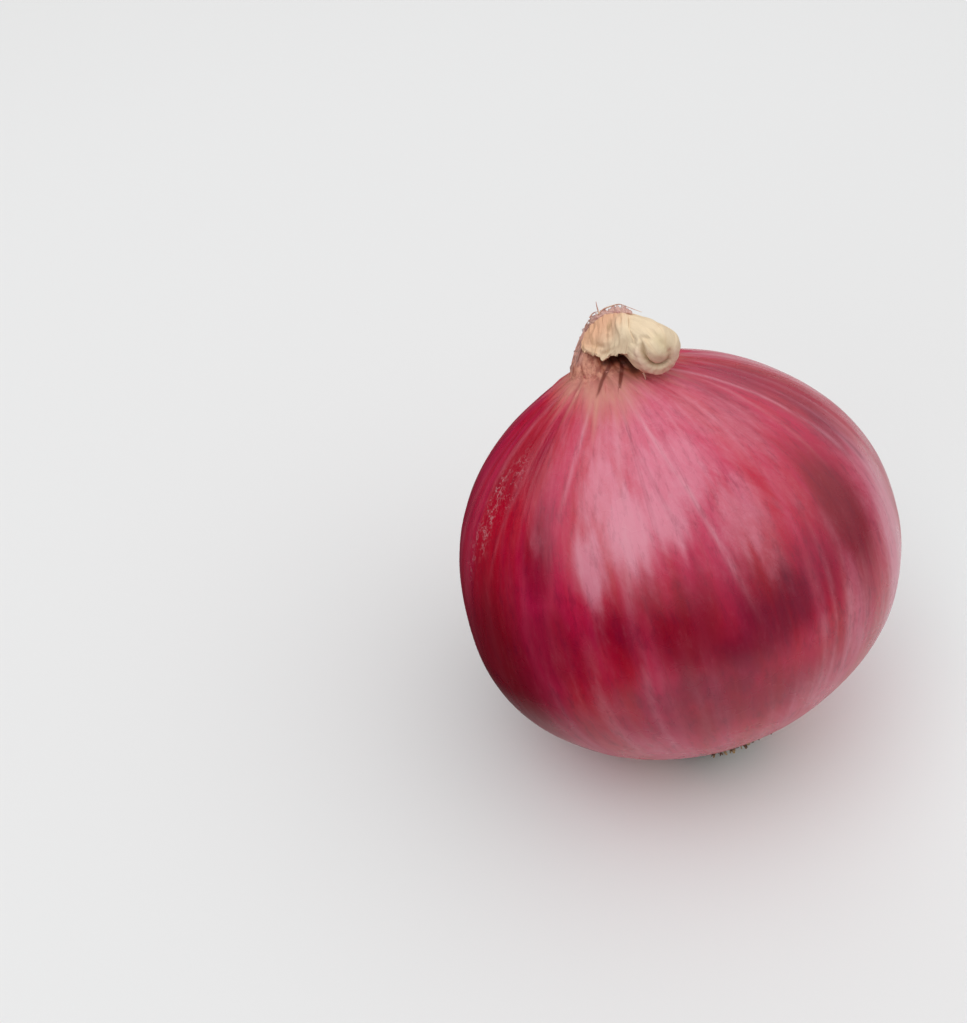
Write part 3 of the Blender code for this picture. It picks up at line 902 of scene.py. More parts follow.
# Folds in the leaf: points in mm, then depth and half width. A negative depth raises a ridge.
NECK_FOLDS = (
    (((2.10, -10.54, 37.91), (2.06, -10.97, 37.36), (1.97, -11.17, 36.66), (1.94, -11.42, 35.73),
      (2.03, -11.45, 34.92), (2.43, -11.38, 34.11), (3.01, -11.20, 33.40), (3.76, -11.10, 33.14),
      (4.60, -10.95, 33.20), (5.20, -11.00, 33.60), (5.53, -11.20, 34.20), (5.64, -11.40, 34.92)),
     0.78, 0.44),
    (RIM_RIDGE, -0.28, 0.45),
    (((2.99, -11.67, 36.36), (3.70, -11.70, 35.30), (4.70, -11.60, 34.70)), -0.30, 0.75),
    (((2.39, -10.61, 37.95), (3.05, -10.98, 37.80), (3.52, -11.38, 37.35)), 0.32, 0.36),
    (RIGHT_DENT, 0.30, 0.50),
    (((1.74, -4.25, 40.41), (1.26, -6.54, 39.54), (0.82, -8.22, 38.51), (0.93, -9.14, 37.81),
      (1.10, -9.95, 37.25), (1.00, -10.2, 36.2)), 0.22, 0.60),
    (((3.0, -9.2, 39.3), (3.9, -10.6, 38.2), (4.6, -11.2, 37.4)), 0.22, 0.45),
    (((4.6, -6.2, 39.6), (5.6, -8.0, 38.2), (6.2, -9.2, 36.8)), 0.30, 0.60),
    (((-6.74, -2.24, 35.26), (-5.49, -4.11, 34.22), (-4.10, -4.76, 33.95)), 0.30, 0.28),
    (((-7.69, -2.51, 33.56), (-6.57, -4.03, 32.70), (-6.19, -7.33, 31.64)), 0.26, 0.30),
    (((-6.02, -1.91, 36.10), (-6.04, -3.32, 35.09), (-5.75, -4.52, 33.49), (-6.08, -5.83, 32.12)),
     0.32, 0.28),
    (((-4.57, -3.66, 34.95), (-5.22, -4.39, 33.75), (-6.08, -4.44, 32.66)), 0.26, 0.28),
)
# Slits where the skin has split below the fold, widest at the top, each with a painted dark brown shade
# inside
NECK_SLITS = (
    (((-1.89, -4.45, 34.21), (-2.67, -5.10, 33.71), (-3.43, -4.96, 32.88), (-4.38, -5.76, 32.10),
      (-5.38, -7.72, 31.21), (-6.43, -9.32, 30.51)), 0.62, 0.27),
    (((-0.66, -4.24, 33.31), (-1.00, -4.77, 32.76), (-1.41, -5.88, 32.26), (-2.16, -8.22, 31.53),
      (-3.08, -10.95, 30.42)), 0.70, 0.29),
    (((0.00, -4.43, 32.58), (0.37, -6.70, 31.93), (0.79, -9.35, 30.92)), 0.22, 0.24),
    (((-3.31, -4.64, 34.36), (-4.23, -4.97, 33.59), (-5.12, -4.72, 32.66)), 0.24, 0.22),
)
# From the onion to the camera, in the onion's own frame
TO_CAMERA = np.array(LEAN.transposed() @ Vector((0, -math.cos(LOOK_DOWN), math.sin(LOOK_DOWN))))
# The line of the painted shadow under the fold
RECESS = ((-2.93, -4.47, 34.47), (-1.70, -4.18, 34.37), (-0.68, -4.28, 34.08),
          (0.28, -4.72, 33.37), (0.77, -5.65, 32.44))


def make_neck(material):
    rings, along, a = neck_rings()
    normal = surface_normals(rings)
    # The folds' mask, for the painted shade in them
    groove = np.zeros(rings.shape[:2])
    for line, deep, wide in NECK_FOLDS:
        gap, place = near_line(rings, line)
        taper = np.sin(math.pi * place.clip(0.08, 0.92)) ** 0.5
        dent = np.exp(-(gap / wide) ** 2) * taper
        rings = rings - normal * (dent * deep)[..., None]
        groove = np.maximum(groove, dent * min(max(deep / 0.9, 0), 1))
    # Slits are measured as they look from the front, on the stem's near side only
    flat = np.eye(3) - np.outer(TO_CAMERA, TO_CAMERA)
    facing = (normal @ TO_CAMERA > 0.1) & (along < 1.40)
    # Each slit's mask, for the painted shade inside it
    slit = np.zeros_like(groove)
    for line, deep, wide in NECK_SLITS:
        gap, place = near_line(rings @ flat, np.array(line) @ flat)
        cut = np.exp(-(gap / (wide * (1.3 - 0.65 * place))) ** 2) * np.minimum((1 - place) * 3.0, 1) ** 0.9
        cut = cut * facing * min(deep / 0.65, 1)
        # Over the bulb's shoulder the slit stays shallow, or the skin below would close it
        sink = 0.10 + (0.45 * deep - 0.10) * np.clip((along - 1.02) / 0.06, 0, 1)
        rings = rings - normal * (cut * sink)[..., None]
        slit = np.maximum(slit, cut)
    # Where the painted shadow under the fold lies, as it looks from the front
    shade, _ = near_line(rings @ flat, np.array(RECESS) @ flat)
    recess_shade = np.exp(-(shade / 1.5) ** 2) * facing
    rim, _ = near_line(rings, RIM_RIDGE)
    # The right dent, where a greenish-yellow painted shade lies
    dent_shade, _ = near_line(rings, RIGHT_DENT)
    angle_rows = np.broadcast_to(a, along.shape)
    around = np.stack([np.cos(angle_rows), np.sin(angle_rows), along], -1)
    obj = body_from_rings("neck_leaf", rings, material,
                          {"around": around, "groove": groove, "slit": slit, "recess_shade": recess_shade,
                           "rim": np.exp(-(rim / 0.8) ** 2), "dent_shade": np.exp(-(dent_shade / 0.9) ** 2)})
    mark_skin(obj)
    return obj


LEAF_PEACH, LEAF_CREAM = (0.84, 0.47, 0.29, 1), (0.88, 0.70, 0.48, 1)
LEAF_TAN = (0.68, 0.40, 0.20, 1)
FOOT_RED, FOOT_PINK = (0.36, 0.070, 0.052, 1), (0.74, 0.33, 0.23, 1)
FIBRE_DARK, FIBRE_LIGHT = (0.46, 0.24, 0.11, 1), (0.88, 0.74, 0.54, 1)
VEIL_ROSE, RIM_PINK = (0.76, 0.46, 0.41, 1), (0.86, 0.58, 0.48, 1)
# Greenish-yellow painted shade in the right dent, brown painted shade in the folds
DENT_SHADE_OLIVE, GROOVE_SHADE_BROWN = (0.72, 0.60, 0.33, 1), (0.34, 0.22, 0.09, 1)
# Brown and near-black painted shadow under the fold
RECESS_SHADE_BROWN, RECESS_SHADOW_CORE = (0.42, 0.115, 0.050, 1), (0.09, 0.020, 0.008, 1)
# Painted shade inside the slits
SLIT_SHADE_BROWN = (0.20, 0.040, 0.025, 1)


def neck_material():
    """Skin at the foot, peach up the stem, cream at the tip, with fibres along it, and painted shade,
    mostly brown, in the folds, the slits, the right dent and under the fold.
    """
    material, tree, shader = new_material("dry_neck")
    skin_colour, _, _ = skin_colours(tree)
    side, front, along = split(tree, stored(tree, "around", vector=True))
    share = along - 1.0
    way = (side, front, share)
    fibres = round_noise(tree, way, 20.0, 2.5, detail=4.0, roughness=0.65)
    blotch = round_noise(tree, way, 2.2, 5.0, detail=5.0, roughness=0.6)
    stain = round_noise(tree, way, 6.0, 20.0, detail=6.0, roughness=0.68)
    foot = mixed(tree, stain.ramp(0.38, 0.60), FOOT_RED, FOOT_PINK)
    leaf = painted(tree, mixed(tree, share.ramp(0.42, 0.66), LEAF_PEACH, LEAF_CREAM),
                   (blotch.ramp(0.52, 0.72) * 0.40, LEAF_TAN),
                   ((share + (stain - 0.5) * 0.16).ramp(0.34, 0.10) * 0.9, foot),
                   (fibres.ramp(0.46, 0.28) * 0.40, FIBRE_DARK),
                   (fibres.ramp(0.58, 0.75) * 0.35, FIBRE_LIGHT))
    start = round_noise(tree, (side, front, along), 7.0, 6.0, detail=4.0)
    veil = (side * -1.0 + front * -0.2).ramp(0.78, 0.98) * share.ramp(0.40, 0.20) * share.ramp(0.0, 0.08)
    recess_shade = stored(tree, "recess_shade")
    colour = painted(tree, skin_colour,
                     ((along + (start - 0.5) * 0.16).ramp(0.80, 1.02), leaf),
                     (veil * 0.5, VEIL_ROSE),
                     (stored(tree, "rim") * 0.40, RIM_PINK),
                     (stored(tree, "dent_shade") * 0.36, DENT_SHADE_OLIVE),
                     (stored(tree, "groove").ramp(0.15, 1.0) * 0.75, GROOVE_SHADE_BROWN),
                     (recess_shade.ramp(0.08, 0.75) * 0.74, RECESS_SHADE_BROWN),
                     (stored(tree, "slit").ramp(0.03, 0.72) * 0.88, SLIT_SHADE_BROWN),
                     (recess_shade.ramp(0.62, 1.0) * 0.92, RECESS_SHADOW_CORE))
    tree.links.new(colour, shader.inputs["Base Color"])
    relief = fibres * 0.6 + blotch * 0.4 + stain * 0.9
    tree.links.new(bumped(tree, relief, 0.55, 0.28 * MM), shader.inputs["Normal"])
    feed(tree, shader.inputs["Roughness"], blotch.ramp(0.3, 0.7, 0.50, 0.74))
    return material


leaf = neck_material()
neck = make_neck(leaf)
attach(neck, "root")
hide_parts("neck")

# %% [markdown]
# ## The hood
# The outermost leaf is wider than the bundle inside it. Where the neck bends it stands off like a hood
# and hangs in front of the stem with a torn edge. It is a thin shell: a smooth sheet through a few rows
# of points, given a thickness, with its own small folds.

# %% Hood over the bend
# Rows from the ridge down to the torn edge, each from left to right, in mm
HOOD = (
    ((-4.68, 0.48, 37.71), (-3.64, -0.01, 38.81), (-2.34, -0.97, 39.74), (-1.05, -1.35, 40.17),
     (0.16, -2.56, 40.35), (1.07, -4.10, 40.46), (1.89, -5.17, 40.40)),
    ((-5.12, -0.47, 37.40), (-4.17, -1.38, 38.13), (-2.81, -2.81, 38.93), (-1.64, -4.03, 39.37),
     (-0.52, -5.20, 39.65), (0.49, -6.53, 39.77), (1.31, -7.30, 39.66)),
    ((-5.45, -1.40, 37.12), (-4.57, -2.72, 37.57), (-3.34, -4.19, 37.90), (-2.22, -5.30, 38.05),
     (-1.07, -6.38, 38.30), (-0.02, -7.46, 38.54), (0.90, -8.79, 38.63)),
    ((-5.66, -2.14, 36.78), (-4.88, -3.59, 36.86), (-3.80, -4.89, 36.74), (-2.76, -5.88, 36.60),
     (-1.65, -6.83, 36.90), (-0.58, -7.90, 37.18), (0.90, -9.86, 37.29)),
    ((-5.73, -2.58, 36.41), (-5.07, -4.04, 36.12), (-4.23, -5.12, 35.68), (-3.37, -5.91, 35.21),
     (-2.30, -6.76, 35.51), (-1.17, -7.73, 35.74), (0.12, -9.70, 35.51)),
)
# Share across and share down of each end of a fold, then depth and width
HOOD_FOLDS = (
    ((0.62, 0.10), (0.50, 0.45), 0.30, 0.07), ((0.72, 0.12), (0.86, 0.62), -0.22, 0.05),
    ((0.10, 0.62), (0.62, 0.74), 0.20, 0.05), ((0.30, 0.86), (0.80, 0.84), 0.16, 0.04),
    ((0.04, 0.80), (0.34, 0.95), -0.20, 0.06), ((0.30, 0.15), (0.22, 0.60), -0.16, 0.06),
    ((0.92, 0.30), (0.97, 0.85), 0.22, 0.05), ((0.44, 0.55), (0.70, 0.50), 0.12, 0.04),
)
HOOD_ACROSS, HOOD_DOWN, HOOD_THICK = 110, 84, 0.32
# Height of the hood as a share of its width, where folds are measured
HOOD_TALL = 0.7


def fine_sheet(rows, across, down):
    """A smooth sheet of points through a few rows of points."""
    rows = np.array(rows, float)
    lines = smooth_rows(rows.reshape(len(rows), -1), down).reshape(down, -1, 3)
    flipped = lines.transpose(1, 0, 2)
    fine = smooth_rows(flipped.reshape(len(flipped), -1), across).reshape(across, down, 3)
    return fine.transpose(1, 0, 2)


def sheet_normals(sheet):
    """The direction that each point of a sheet faces."""
    out = np.cross(np.gradient(sheet, axis=1), np.gradient(sheet, axis=0))
    return out / np.maximum(np.linalg.norm(out, axis=-1, keepdims=True), 1e-9)


def shell(name, sheet, thick, material, marks):
    """A closed thin leaf from a sheet of points, its back set in by the thickness."""
    down, across = sheet.shape[:2]
    back = sheet - sheet_normals(sheet) * thick
    points = np.vstack([sheet.reshape(-1, 3), back.reshape(-1, 3)])
    half = down * across
    faces = []
    for r in range(down - 1):
        for k in range(across - 1):
            i = r * across + k
            front = (i, i + across, i + across + 1, i + 1)
            faces += [front, tuple(half + v for v in reversed(front))]
    rim = (list(range(across)) + [r * across + across - 1 for r in range(1, down)]
           + [(down - 1) * across + k for k in range(across - 2, -1, -1)]
           + [r * across for r in range(down - 2, 0, -1)])
    for i, j in zip(rim, rim[1:] + rim[:1]):
        faces.append((i, j, half + j, half + i))
    both = {mark: np.concatenate([values.reshape(half, -1)] * 2).squeeze()
            for mark, values in marks.items()}
    return new_piece(name, points, faces, material, both)


def make_hood(material):
    sheet = fine_sheet(HOOD, HOOD_ACROSS, HOOD_DOWN)
    across, down = np.meshgrid(np.linspace(0, 1, HOOD_ACROSS), np.linspace(0, 1, HOOD_DOWN))
    # The rows run so that the sheet's own normals point at the stem
    out = -sheet_normals(sheet)
    lift = np.zeros_like(across)
    # The folds' mask, for the painted shade in them
    groove = np.zeros_like(across)
    flat = np.stack([across, down * HOOD_TALL, np.zeros_like(down)], -1)
    for start, end, deep, wide in HOOD_FOLDS:
        line = ((start[0], start[1] * HOOD_TALL, 0), (end[0], end[1] * HOOD_TALL, 0))
        gap, place = near_line(flat, line)
        dent = np.exp(-(gap / wide) ** 2) * np.sin(math.pi * place.clip(0.1, 0.9))
        lift -= deep * dent
        groove = np.maximum(groove, dent * max(deep, 0) * 2.2)
    rng = np.random.default_rng(17)
    for _ in range(16):
        count_x, count_y = rng.uniform(2, 22), rng.uniform(-3, 3)
        lift += 0.22 / (count_x + 4) * np.cos(2 * math.pi * (
            count_x * across + count_y * down + rng.uniform(0, 1)))
    # The right edge dips into the neck, so that the two read as one crumpled leaf
    lift -= 0.40 * np.clip((across - 0.84) / 0.16, 0, 1) ** 2
    sheet = sheet + out * lift[..., None]
    # The lower edge is torn: it hangs a little longer or shorter along its own last rows
    torn = 0.20 * np.cos(23 * across[0] + 1.0) + 0.07 * np.cos(61 * across[0] + 2.0)
    torn += 0.04 * np.cos(139 * across[0])
    hang = sheet[-1] - sheet[-6]
    hang /= np.linalg.norm(hang, axis=-1, keepdims=True)
    sheet = sheet + (np.clip((down - 0.85) / 0.15, 0, 1) ** 2 * torn)[..., None] * hang
    sheet, across, down, groove = (rows[:, ::-1] for rows in (sheet, across, down, groove))
    turn = 3.6 + across * 1.9
    # Painted shadow along part of the lower edge, where the hood hangs over the stem
    hood_edge_shade = 0.40 * np.clip((down - 0.84) / 0.16, 0, 1) ** 1.5 * np.clip((0.55 - across) / 0.2, 0, 1)
    around = np.stack([np.cos(turn), np.sin(turn), 1.34 + 0.22 * down + 0.26 * across ** 2], -1)
    obj = shell("neck_hood", sheet, HOOD_THICK, material,
                {"around": around, "groove": groove.clip(0, 1), "recess_shade": hood_edge_shade})
    mark_skin(obj)
    return obj


hood = make_hood(leaf)
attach(hood, "root")

# %% [markdown]
# ## Film and fibres
# A torn rag of the thinnest skin clings to the left of the neck and lets the light through. A few loose
# fibres stand off its edge. The film is a sheet between two lines, with holes made by its material, and
# each fibre is a thin tapered tube along its own short line.

# %% Film and loose fibres
# From the mouth of the throat up the left side and over the top, in mm
FILM_ROOT = (
    (-7.63, -1.69, 32.98), (-6.61, -1.84, 35.12), (-5.57, -1.16, 36.56), (-4.36, -0.10, 37.87),
    (-3.35, -0.46, 39.02), (-2.26, -1.01, 39.62), (-1.45, -1.24, 39.87), (-0.64, -1.70, 40.08),
    (0.18, -2.49, 40.24), (0.96, -3.41, 40.31), (1.84, -4.66, 40.34), (2.46, -5.35, 40.18),
)
FILM_EDGE = (
    (-8.38, 1.09, 32.47), (-7.23, 0.93, 34.59), (-6.23, 1.82, 36.01), (-5.05, 2.30, 37.48),
    (-3.95, 1.86, 38.75), (-2.86, 1.22, 40.01), (-1.85, 0.50, 40.38), (-0.62, -0.12, 40.72),
    (0.57, -0.88, 40.98), (1.38, -1.59, 41.06), (2.19, -3.05, 40.77), (2.65, -4.35, 40.33),
)
FILM_ACROSS, FILM_DOWN, FILM_THICK = 150, 22, 0.05
# Each loose fibre: its points in mm and its thickness at the root
FIBRES = (
    (((-1.78, -0.19, 40.18), (-1.76, 0.37, 40.61), (-1.73, 0.77, 41.19), (-1.64, 1.17, 41.80)), 0.13),
    (((-3.16, 1.03, 39.74), (-2.71, 1.26, 40.12), (-2.13, 0.92, 40.36), (-1.54, 0.29, 40.38)), 0.12),
    (((-2.00, -0.01, 40.09), (-0.95, -0.03, 40.68), (0.27, -0.58, 40.94), (1.38, -1.58, 41.08),
      (2.37, -3.18, 40.68), (3.88, -4.91, 39.90)), 0.13),
    (((-4.53, 1.18, 37.60), (-4.11, 1.68, 38.50), (-3.51, 1.38, 39.19), (-2.66, 0.50, 39.71)), 0.11),
    (((1.55, -7.96, 32.12), (1.60, -8.27, 31.51), (1.52, -8.36, 31.12)), 0.16),
)
FIBRE_STEPS, FIBRE_SIDES = 20, 6


def make_film(material):
    middle = (np.array(FILM_ROOT) + FILM_EDGE) / 2
    sheet = fine_sheet((FILM_ROOT, middle, FILM_EDGE), FILM_ACROSS, FILM_DOWN)
    across, down = np.meshgrid(np.linspace(0, 1, FILM_ACROSS), np.linspace(0, 1, FILM_DOWN))
    torn = 0.86 + 0.16 * ragged(across[0] * 360, 51, 30, 0.6)
    waves = 0.10 * ragged(across[0] * 360, 52, 40, 0.6) * down ** 0.7
    sheet = sheet[0] + (sheet - sheet[0]) * torn[None, :, None] + sheet_normals(sheet) * waves[..., None]
    return shell("neck_film", sheet, FILM_THICK, material,
                 {"sheet": np.stack([across, down, down * 0], -1)})


FILM_ROSE, FILM_PEACH = (0.60, 0.26, 0.23, 1), (0.78, 0.50, 0.40, 1)
FILM_MARGIN = (0.44, 0.16, 0.14, 1)


def film_material():
    """Skin so thin that it shows as a rosy veil, with a browner margin and small tears."""
    material, tree, shader = new_material("thin_film")
    across, down, _ = split(tree, stored(tree, "sheet", vector=True))
    slanted = join(tree, across * 26.0 + down * 4.0, down * 1.5, 0.0)
    fibres = noise(tree, slanted, detail=4.0, roughness=0.6)
    lace = noise(tree, join(tree, across * 9.0, down * 1.8, 0.0), detail=3.0, roughness=0.5)
    colour = painted(tree, mixed(tree, fibres.ramp(0.35, 0.65), FILM_ROSE, FILM_PEACH),
                     (down.ramp(0.70, 1.0) * 0.6, FILM_MARGIN))
    tree.links.new(colour, shader.inputs["Base Color"])
    shader.inputs["Roughness"].default_value = 0.45
    solid = (lace + (1 - down) * 0.25).ramp(0.30, 0.50, 0.12, 0.80) * fibres.ramp(0.30, 0.62, 0.70, 1.0)
    feed(tree, shader.inputs["Alpha"], solid.high(down.ramp(0.90, 0.98) * 0.7))
    return material


def make_fibres(material):
    points, faces = [], []
    for line, thick in FIBRES:
        faces += tube_faces(FIBRE_STEPS, FIBRE_SIDES, first=len(points))
        rows = smooth_rows(line, FIBRE_STEPS)
        for k, row in enumerate(rows):
            ahead = rows[min(k + 1, FIBRE_STEPS - 1)] - rows[max(k - 1, 0)]
            side = np.cross(ahead, (0.3, 1.0, 0.1))
            side /= np.linalg.norm(side)
            up = np.cross(side, ahead / np.linalg.norm(ahead))
            size = thick * (1 - 0.75 * (k / (FIBRE_STEPS - 1)) ** 1.5)
            for i in range(FIBRE_SIDES):
                turn = 2 * math.pi * i / FIBRE_SIDES
                points.append(row + size * (math.cos(turn) * side + 0.6 * math.sin(turn) * up))
    return new_piece("neck_fibres", points, faces, material)


FIBRE_ROSE, FIBRE_STRAW = (0.52, 0.24, 0.19, 1), (0.76, 0.52, 0.38, 1)


def fibre_material():
    material, tree, shader = new_material("dry_fibre")
    spot = node(tree, "ShaderNodeTexCoord").outputs["Object"]
    tint = noise(tree, spot, scale=700.0, detail=3.0).ramp(0.35, 0.65)
    tree.links.new(mixed(tree, tint, FIBRE_ROSE, FIBRE_STRAW), shader.inputs["Base Color"])
    shader.inputs["Roughness"].default_value = 0.6
    return material


film = make_film(film_material())
fibres = make_fibres(fibre_material())
for piece in (film, fibres):
    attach(piece, "root")

# %% [markdown]
# ## The root tuft
# Under the bulb is a hard round plate from which many dry root stubs stand, cut short. They repeat, so
# Geometry Nodes place them: a spiral of points on a low dome, each with one of a few bent stubs, turned
# and scaled at random from a fixed seed. Those that would reach the floor are pressed along it.

# %% Root stubs
ROOT_SIZES = {
    "Stubs": 210,
    "Plate Radius": PLATE_R - 0.3 * MM,
    "Plate Dome": 1.1 * MM,
    "Plate Rim": 0.45 * MM,
    "Shortest": 0.50,
    "Longest": 0.95,
    "Seed": 14,
}
# The floor presses on stubs that come within SOFT_FLOOR of it, and leaves FLOOR_GAP below the lowest
FLOOR_GAP, SOFT_FLOOR = 0.12 * MM, 0.9 * MM
GOLDEN_TURN = math.pi * (3 - math.sqrt(5))
# Length, radius and bend of each kind of stub, in mm
STUBS = (
    (2.3, 0.52, (0.10, 0.05)), (2.0, 0.62, (-0.14, 0.04)), (2.7, 0.40, (0.18, -0.12)),
    (1.6, 0.70, (0.05, -0.10)), (3.1, 0.30, (-0.22, 0.16)),
)


def root_piece(name, length, radius, bend, sides=7, steps=6):
    """One bent, tapered root, standing on the origin and pointing down."""
    points = []
    for k in range(steps + 1):
        t = k / steps
        x = bend[0] * math.sin(2.6 * t) * length
        y = bend[1] * math.sin(4.0 * t + 0.5) * length
        z = length * (0.21 - 1.15 * t)
        size = radius * (1.15 - 0.55 * t ** 1.5) * (1 + 0.12 * math.sin(7 * t + bend[0] * 20))
        for i in range(sides):
            a = 2 * math.pi * i / sides
            points.append((x + size * math.cos(a), y + size * math.sin(a), z))
    mesh = bpy.data.meshes.new(name)
    mesh.from_pydata(points, [], tube_faces(steps + 1, sides))
    return bpy.data.objects.new(name, mesh)


def root_stock():
    """The few stubs that the tree picks from, in a collection of their own."""
    stock = bpy.data.collections.new("root stock")
    for n, (length, radius, bend) in enumerate(STUBS):
        stock.objects.link(root_piece("stub_%d" % n, length * MM, radius * MM, bend))
    return stock


def tuft_tree(material, stock):
    tree, size = new_tree("root tuft", ROOT_SIZES)
    line = node(tree, "GeometryNodeMeshLine", Count=size["Stubs"])
    number = Field(tree, tree.nodes.new("GeometryNodeInputIndex").outputs[0])

    def scatter(low, high, seed):
        """A random number for each stub."""
        made = node(tree, "FunctionNodeRandomValue", {"data_type": "FLOAT"}, Min=low, Max=high, Seed=seed)
        return Field(tree, made.outputs[1])

    share = ((number + 0.6) / size["Stubs"]) ** 0.5 * 0.97
    golden = number * GOLDEN_TURN
    turn = golden + scatter(-0.25, 0.25, size["Seed"])
    out = share * size["Plate Radius"]
    drop = size["Plate Dome"] * (1 - share * share) + size["Plate Rim"]
    dots = node(tree, "GeometryNodeSetPosition", Geometry=line.outputs[0],
                Position=join(tree, out * turn.do("COSINE"), out * turn.do("SINE"), -drop)).outputs[0]
    dots = store(tree, dots, "share", share, "FLOAT")

    # Each stub leans at random, and those towards the rim lean by the side that they stand on
    kept_share = node(tree, "GeometryNodeInputNamedAttribute", {"data_type": "FLOAT"}, Name="share")
    kept = Field(tree, kept_share.outputs[0])
    to_right = (golden - math.radians(332)).do("COSINE").high(0.0)
    lean = kept * kept * (0.14 - 0.50 * to_right) + scatter(-0.20, 0.35, size["Seed"] + 1) * -0.6
    heading = golden + scatter(-0.5, 0.5, size["Seed"] + 2)
    # They are shorter towards the rim, and shortest at the front
    to_front = (golden - math.radians(248)).do("COSINE").high(0.0) * 0.30 * kept * kept
    length = scatter(size["Shortest"], size["Longest"], size["Seed"] + 3)
    length = length * (1 - 0.48 * kept ** 2.5 - to_front)
    parts = node(tree, "GeometryNodeCollectionInfo", Collection=stock, Separate_Children=True,
                 Reset_Children=True)
    stubs = node(tree, "GeometryNodeInstanceOnPoints", Points=dots, Instance=parts.outputs[0],
                 Pick_Instance=True, Rotation=join(tree, 0.0, lean, heading))
    feed(tree, stubs.inputs["Scale"], length)

    # The plate: a rounded dome with a rim, solid behind
    rim_points = node(tree, "GeometryNodeMeshUVSphere", Segments=72, Rings=40, Radius=1.0)
    sx, sy, sz = split(tree, tree.nodes.new("GeometryNodeInputPosition").outputs[0])
    flat = sz.low(0.0)
    knobs = noise(tree, join(tree, sx * 5.0, sy * 5.0, 0.0), detail=3.0)
    plate_z = (flat * (size["Plate Dome"] + size["Plate Rim"])) - (knobs * 0.3 * MM) * (0 - flat)
    plate = node(tree, "GeometryNodeSetPosition", Geometry=rim_points.outputs["Mesh"],
                 Position=join(tree, sx * size["Plate Radius"], sy * size["Plate Radius"], plate_z))
    both = node(tree, "GeometryNodeJoinGeometry")
    real = node(tree, "GeometryNodeRealizeInstances", Geometry=stubs.outputs[0])
    tree.links.new(real.outputs[0], both.inputs[0])
    tree.links.new(plate.outputs[0], both.inputs[0])

    # Shift to the plate's place on the bulb, lean over with the onion, and press what meets the floor
    swing = (-PLATE_HEIGHT / ROOT_SIDE) ** 6
    seat = Vector((AXIS_BEND * EQUATOR_R * (PLATE_HEIGHT / EQUATOR_R) ** 2 + ROOT_SHIFT[0] * swing,
                   ROOT_SHIFT[1] * swing, PLATE_HEIGHT - 0.3 * MM))
    ux, uy, uz = split(tree, tree.nodes.new("GeometryNodeInputPosition").outputs[0])
    marked = store(tree, both.outputs[0], "own", join(tree, ux, uy, uz))
    leaned = node(tree, "GeometryNodeTransform", Geometry=marked, Translation=placed(seat),
                  Rotation=LEAN_TURNS).outputs[0]
    px, py, pz = split(tree, tree.nodes.new("GeometryNodeInputPosition").outputs[0])
    # Soft floor: what comes near it is squeezed up to a thin layer
    over = (pz - SOFT_FLOOR).high(-3.0 * MM)
    layer = SOFT_FLOOR - FLOOR_GAP
    squeezed = FLOOR_GAP + layer * (over.low(0.0) / SOFT_FLOOR).do("EXPONENT") + over.high(0.0)
    pressed = node(tree, "GeometryNodeSetPosition", Geometry=leaned,
                   Position=join(tree, px, py, squeezed)).outputs[0]
    end_tree(tree, pressed, material)
    return tree


ROOT_SHADE, ROOT_STRAW = (0.07, 0.028, 0.012, 1), (0.47, 0.31, 0.15, 1)
ROOT_BROWN, ROOT_LIGHT = (0.30, 0.15, 0.05, 1), (0.74, 0.58, 0.34, 1)
# Dark of the painted shade on the stubs at the rim
RIM_SHADE_DARK = (0.065, 0.018, 0.014, 1)
# Turns a squared distance from the middle in metres into a share that is 1 near the plate's rim
PLATE_SHARE = 19000.0


def root_material():
    """Straw-coloured dry root: painted brown shade deep between the stubs, light at their tips, painted
    dark shade at the rim.
    """
    material, tree, shader = new_material("dry_roots")
    ox, oy, oz = split(tree, stored(tree, "own", vector=True))
    spot = node(tree, "ShaderNodeTexCoord").outputs["Object"]
    grain = noise(tree, spot, scale=900.0, detail=4.0, roughness=0.65)
    patch = noise(tree, spot, scale=260.0, detail=2.0)
    away = (ox * ox + oy * oy) * PLATE_SHARE
    # Painted shade that deepens towards the plate, between the stubs
    depth = oz * -1000.0 - (1.7 - 1.1 * away.low(1.0))
    colour = painted(tree, mixed(tree, depth.ramp(0.0, 1.5), ROOT_SHADE, ROOT_STRAW),
                     (patch.ramp(0.45, 0.7) * 0.55, ROOT_BROWN),
                     (grain.ramp(0.55, 0.75) * 0.5, ROOT_LIGHT),
                     # Painted shade on the stubs round the plate's rim
                     (away.ramp(0.45, 0.68) * 0.95, RIM_SHADE_DARK))
    tree.links.new(colour, shader.inputs["Base Color"])
    tree.links.new(bumped(tree, grain, 0.5, 0.15 * MM), shader.inputs["Normal"])
    feed(tree, shader.inputs["Roughness"], grain.ramp(0.3, 0.7, 0.7, 0.9))
    return material


stock = root_stock()
roots = grow("root_stubs", tuft_tree(root_material(), stock), ROOT_SIZES)
for piece in list(stock.objects):
    bpy.data.objects.remove(piece)
bpy.data.collections.remove(stock)
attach(roots, "root")
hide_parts("root_tuft")

# %% [markdown]
# ## Floor, backdrop and light
# A pale floor that fades into a pale backdrop, so that no edge shows from any side; beside the onion a pool
# of light is painted on it. One large soft light high on the left front makes the broad sheen on the skin,
# with a painted highlight in the skin's colour adding to it, and an uneven sky fills the rest. The sky is
# darker low in front, which keeps the belly of the onion a deep red. On the left the floor is dark to every
# ray but the camera's, as if a black card lay there out of the picture, which keeps that side deep too,
# along with painted shade in the skin there.

# %% Floor
FLOOR_R = 0.42
PALE_FLOOR = (0.795, 0.799, 0.800, 1)
# The floor's colour in the painted pool of light
PAINTED_LIGHT_FLOOR = (0.945, 0.990, 0.990, 1)
CARD_RED = (0.05, 0.012, 0.016, 1)
# Where the painted pool of light on the floor is brightest, how fast that falls off, and where the floor
# fades into the backdrop
PAINTED_LIGHT_AT, PAINTED_LIGHT_FALL = 0.045, -600.0
FADE_START, FADE_END = 0.16, 0.30


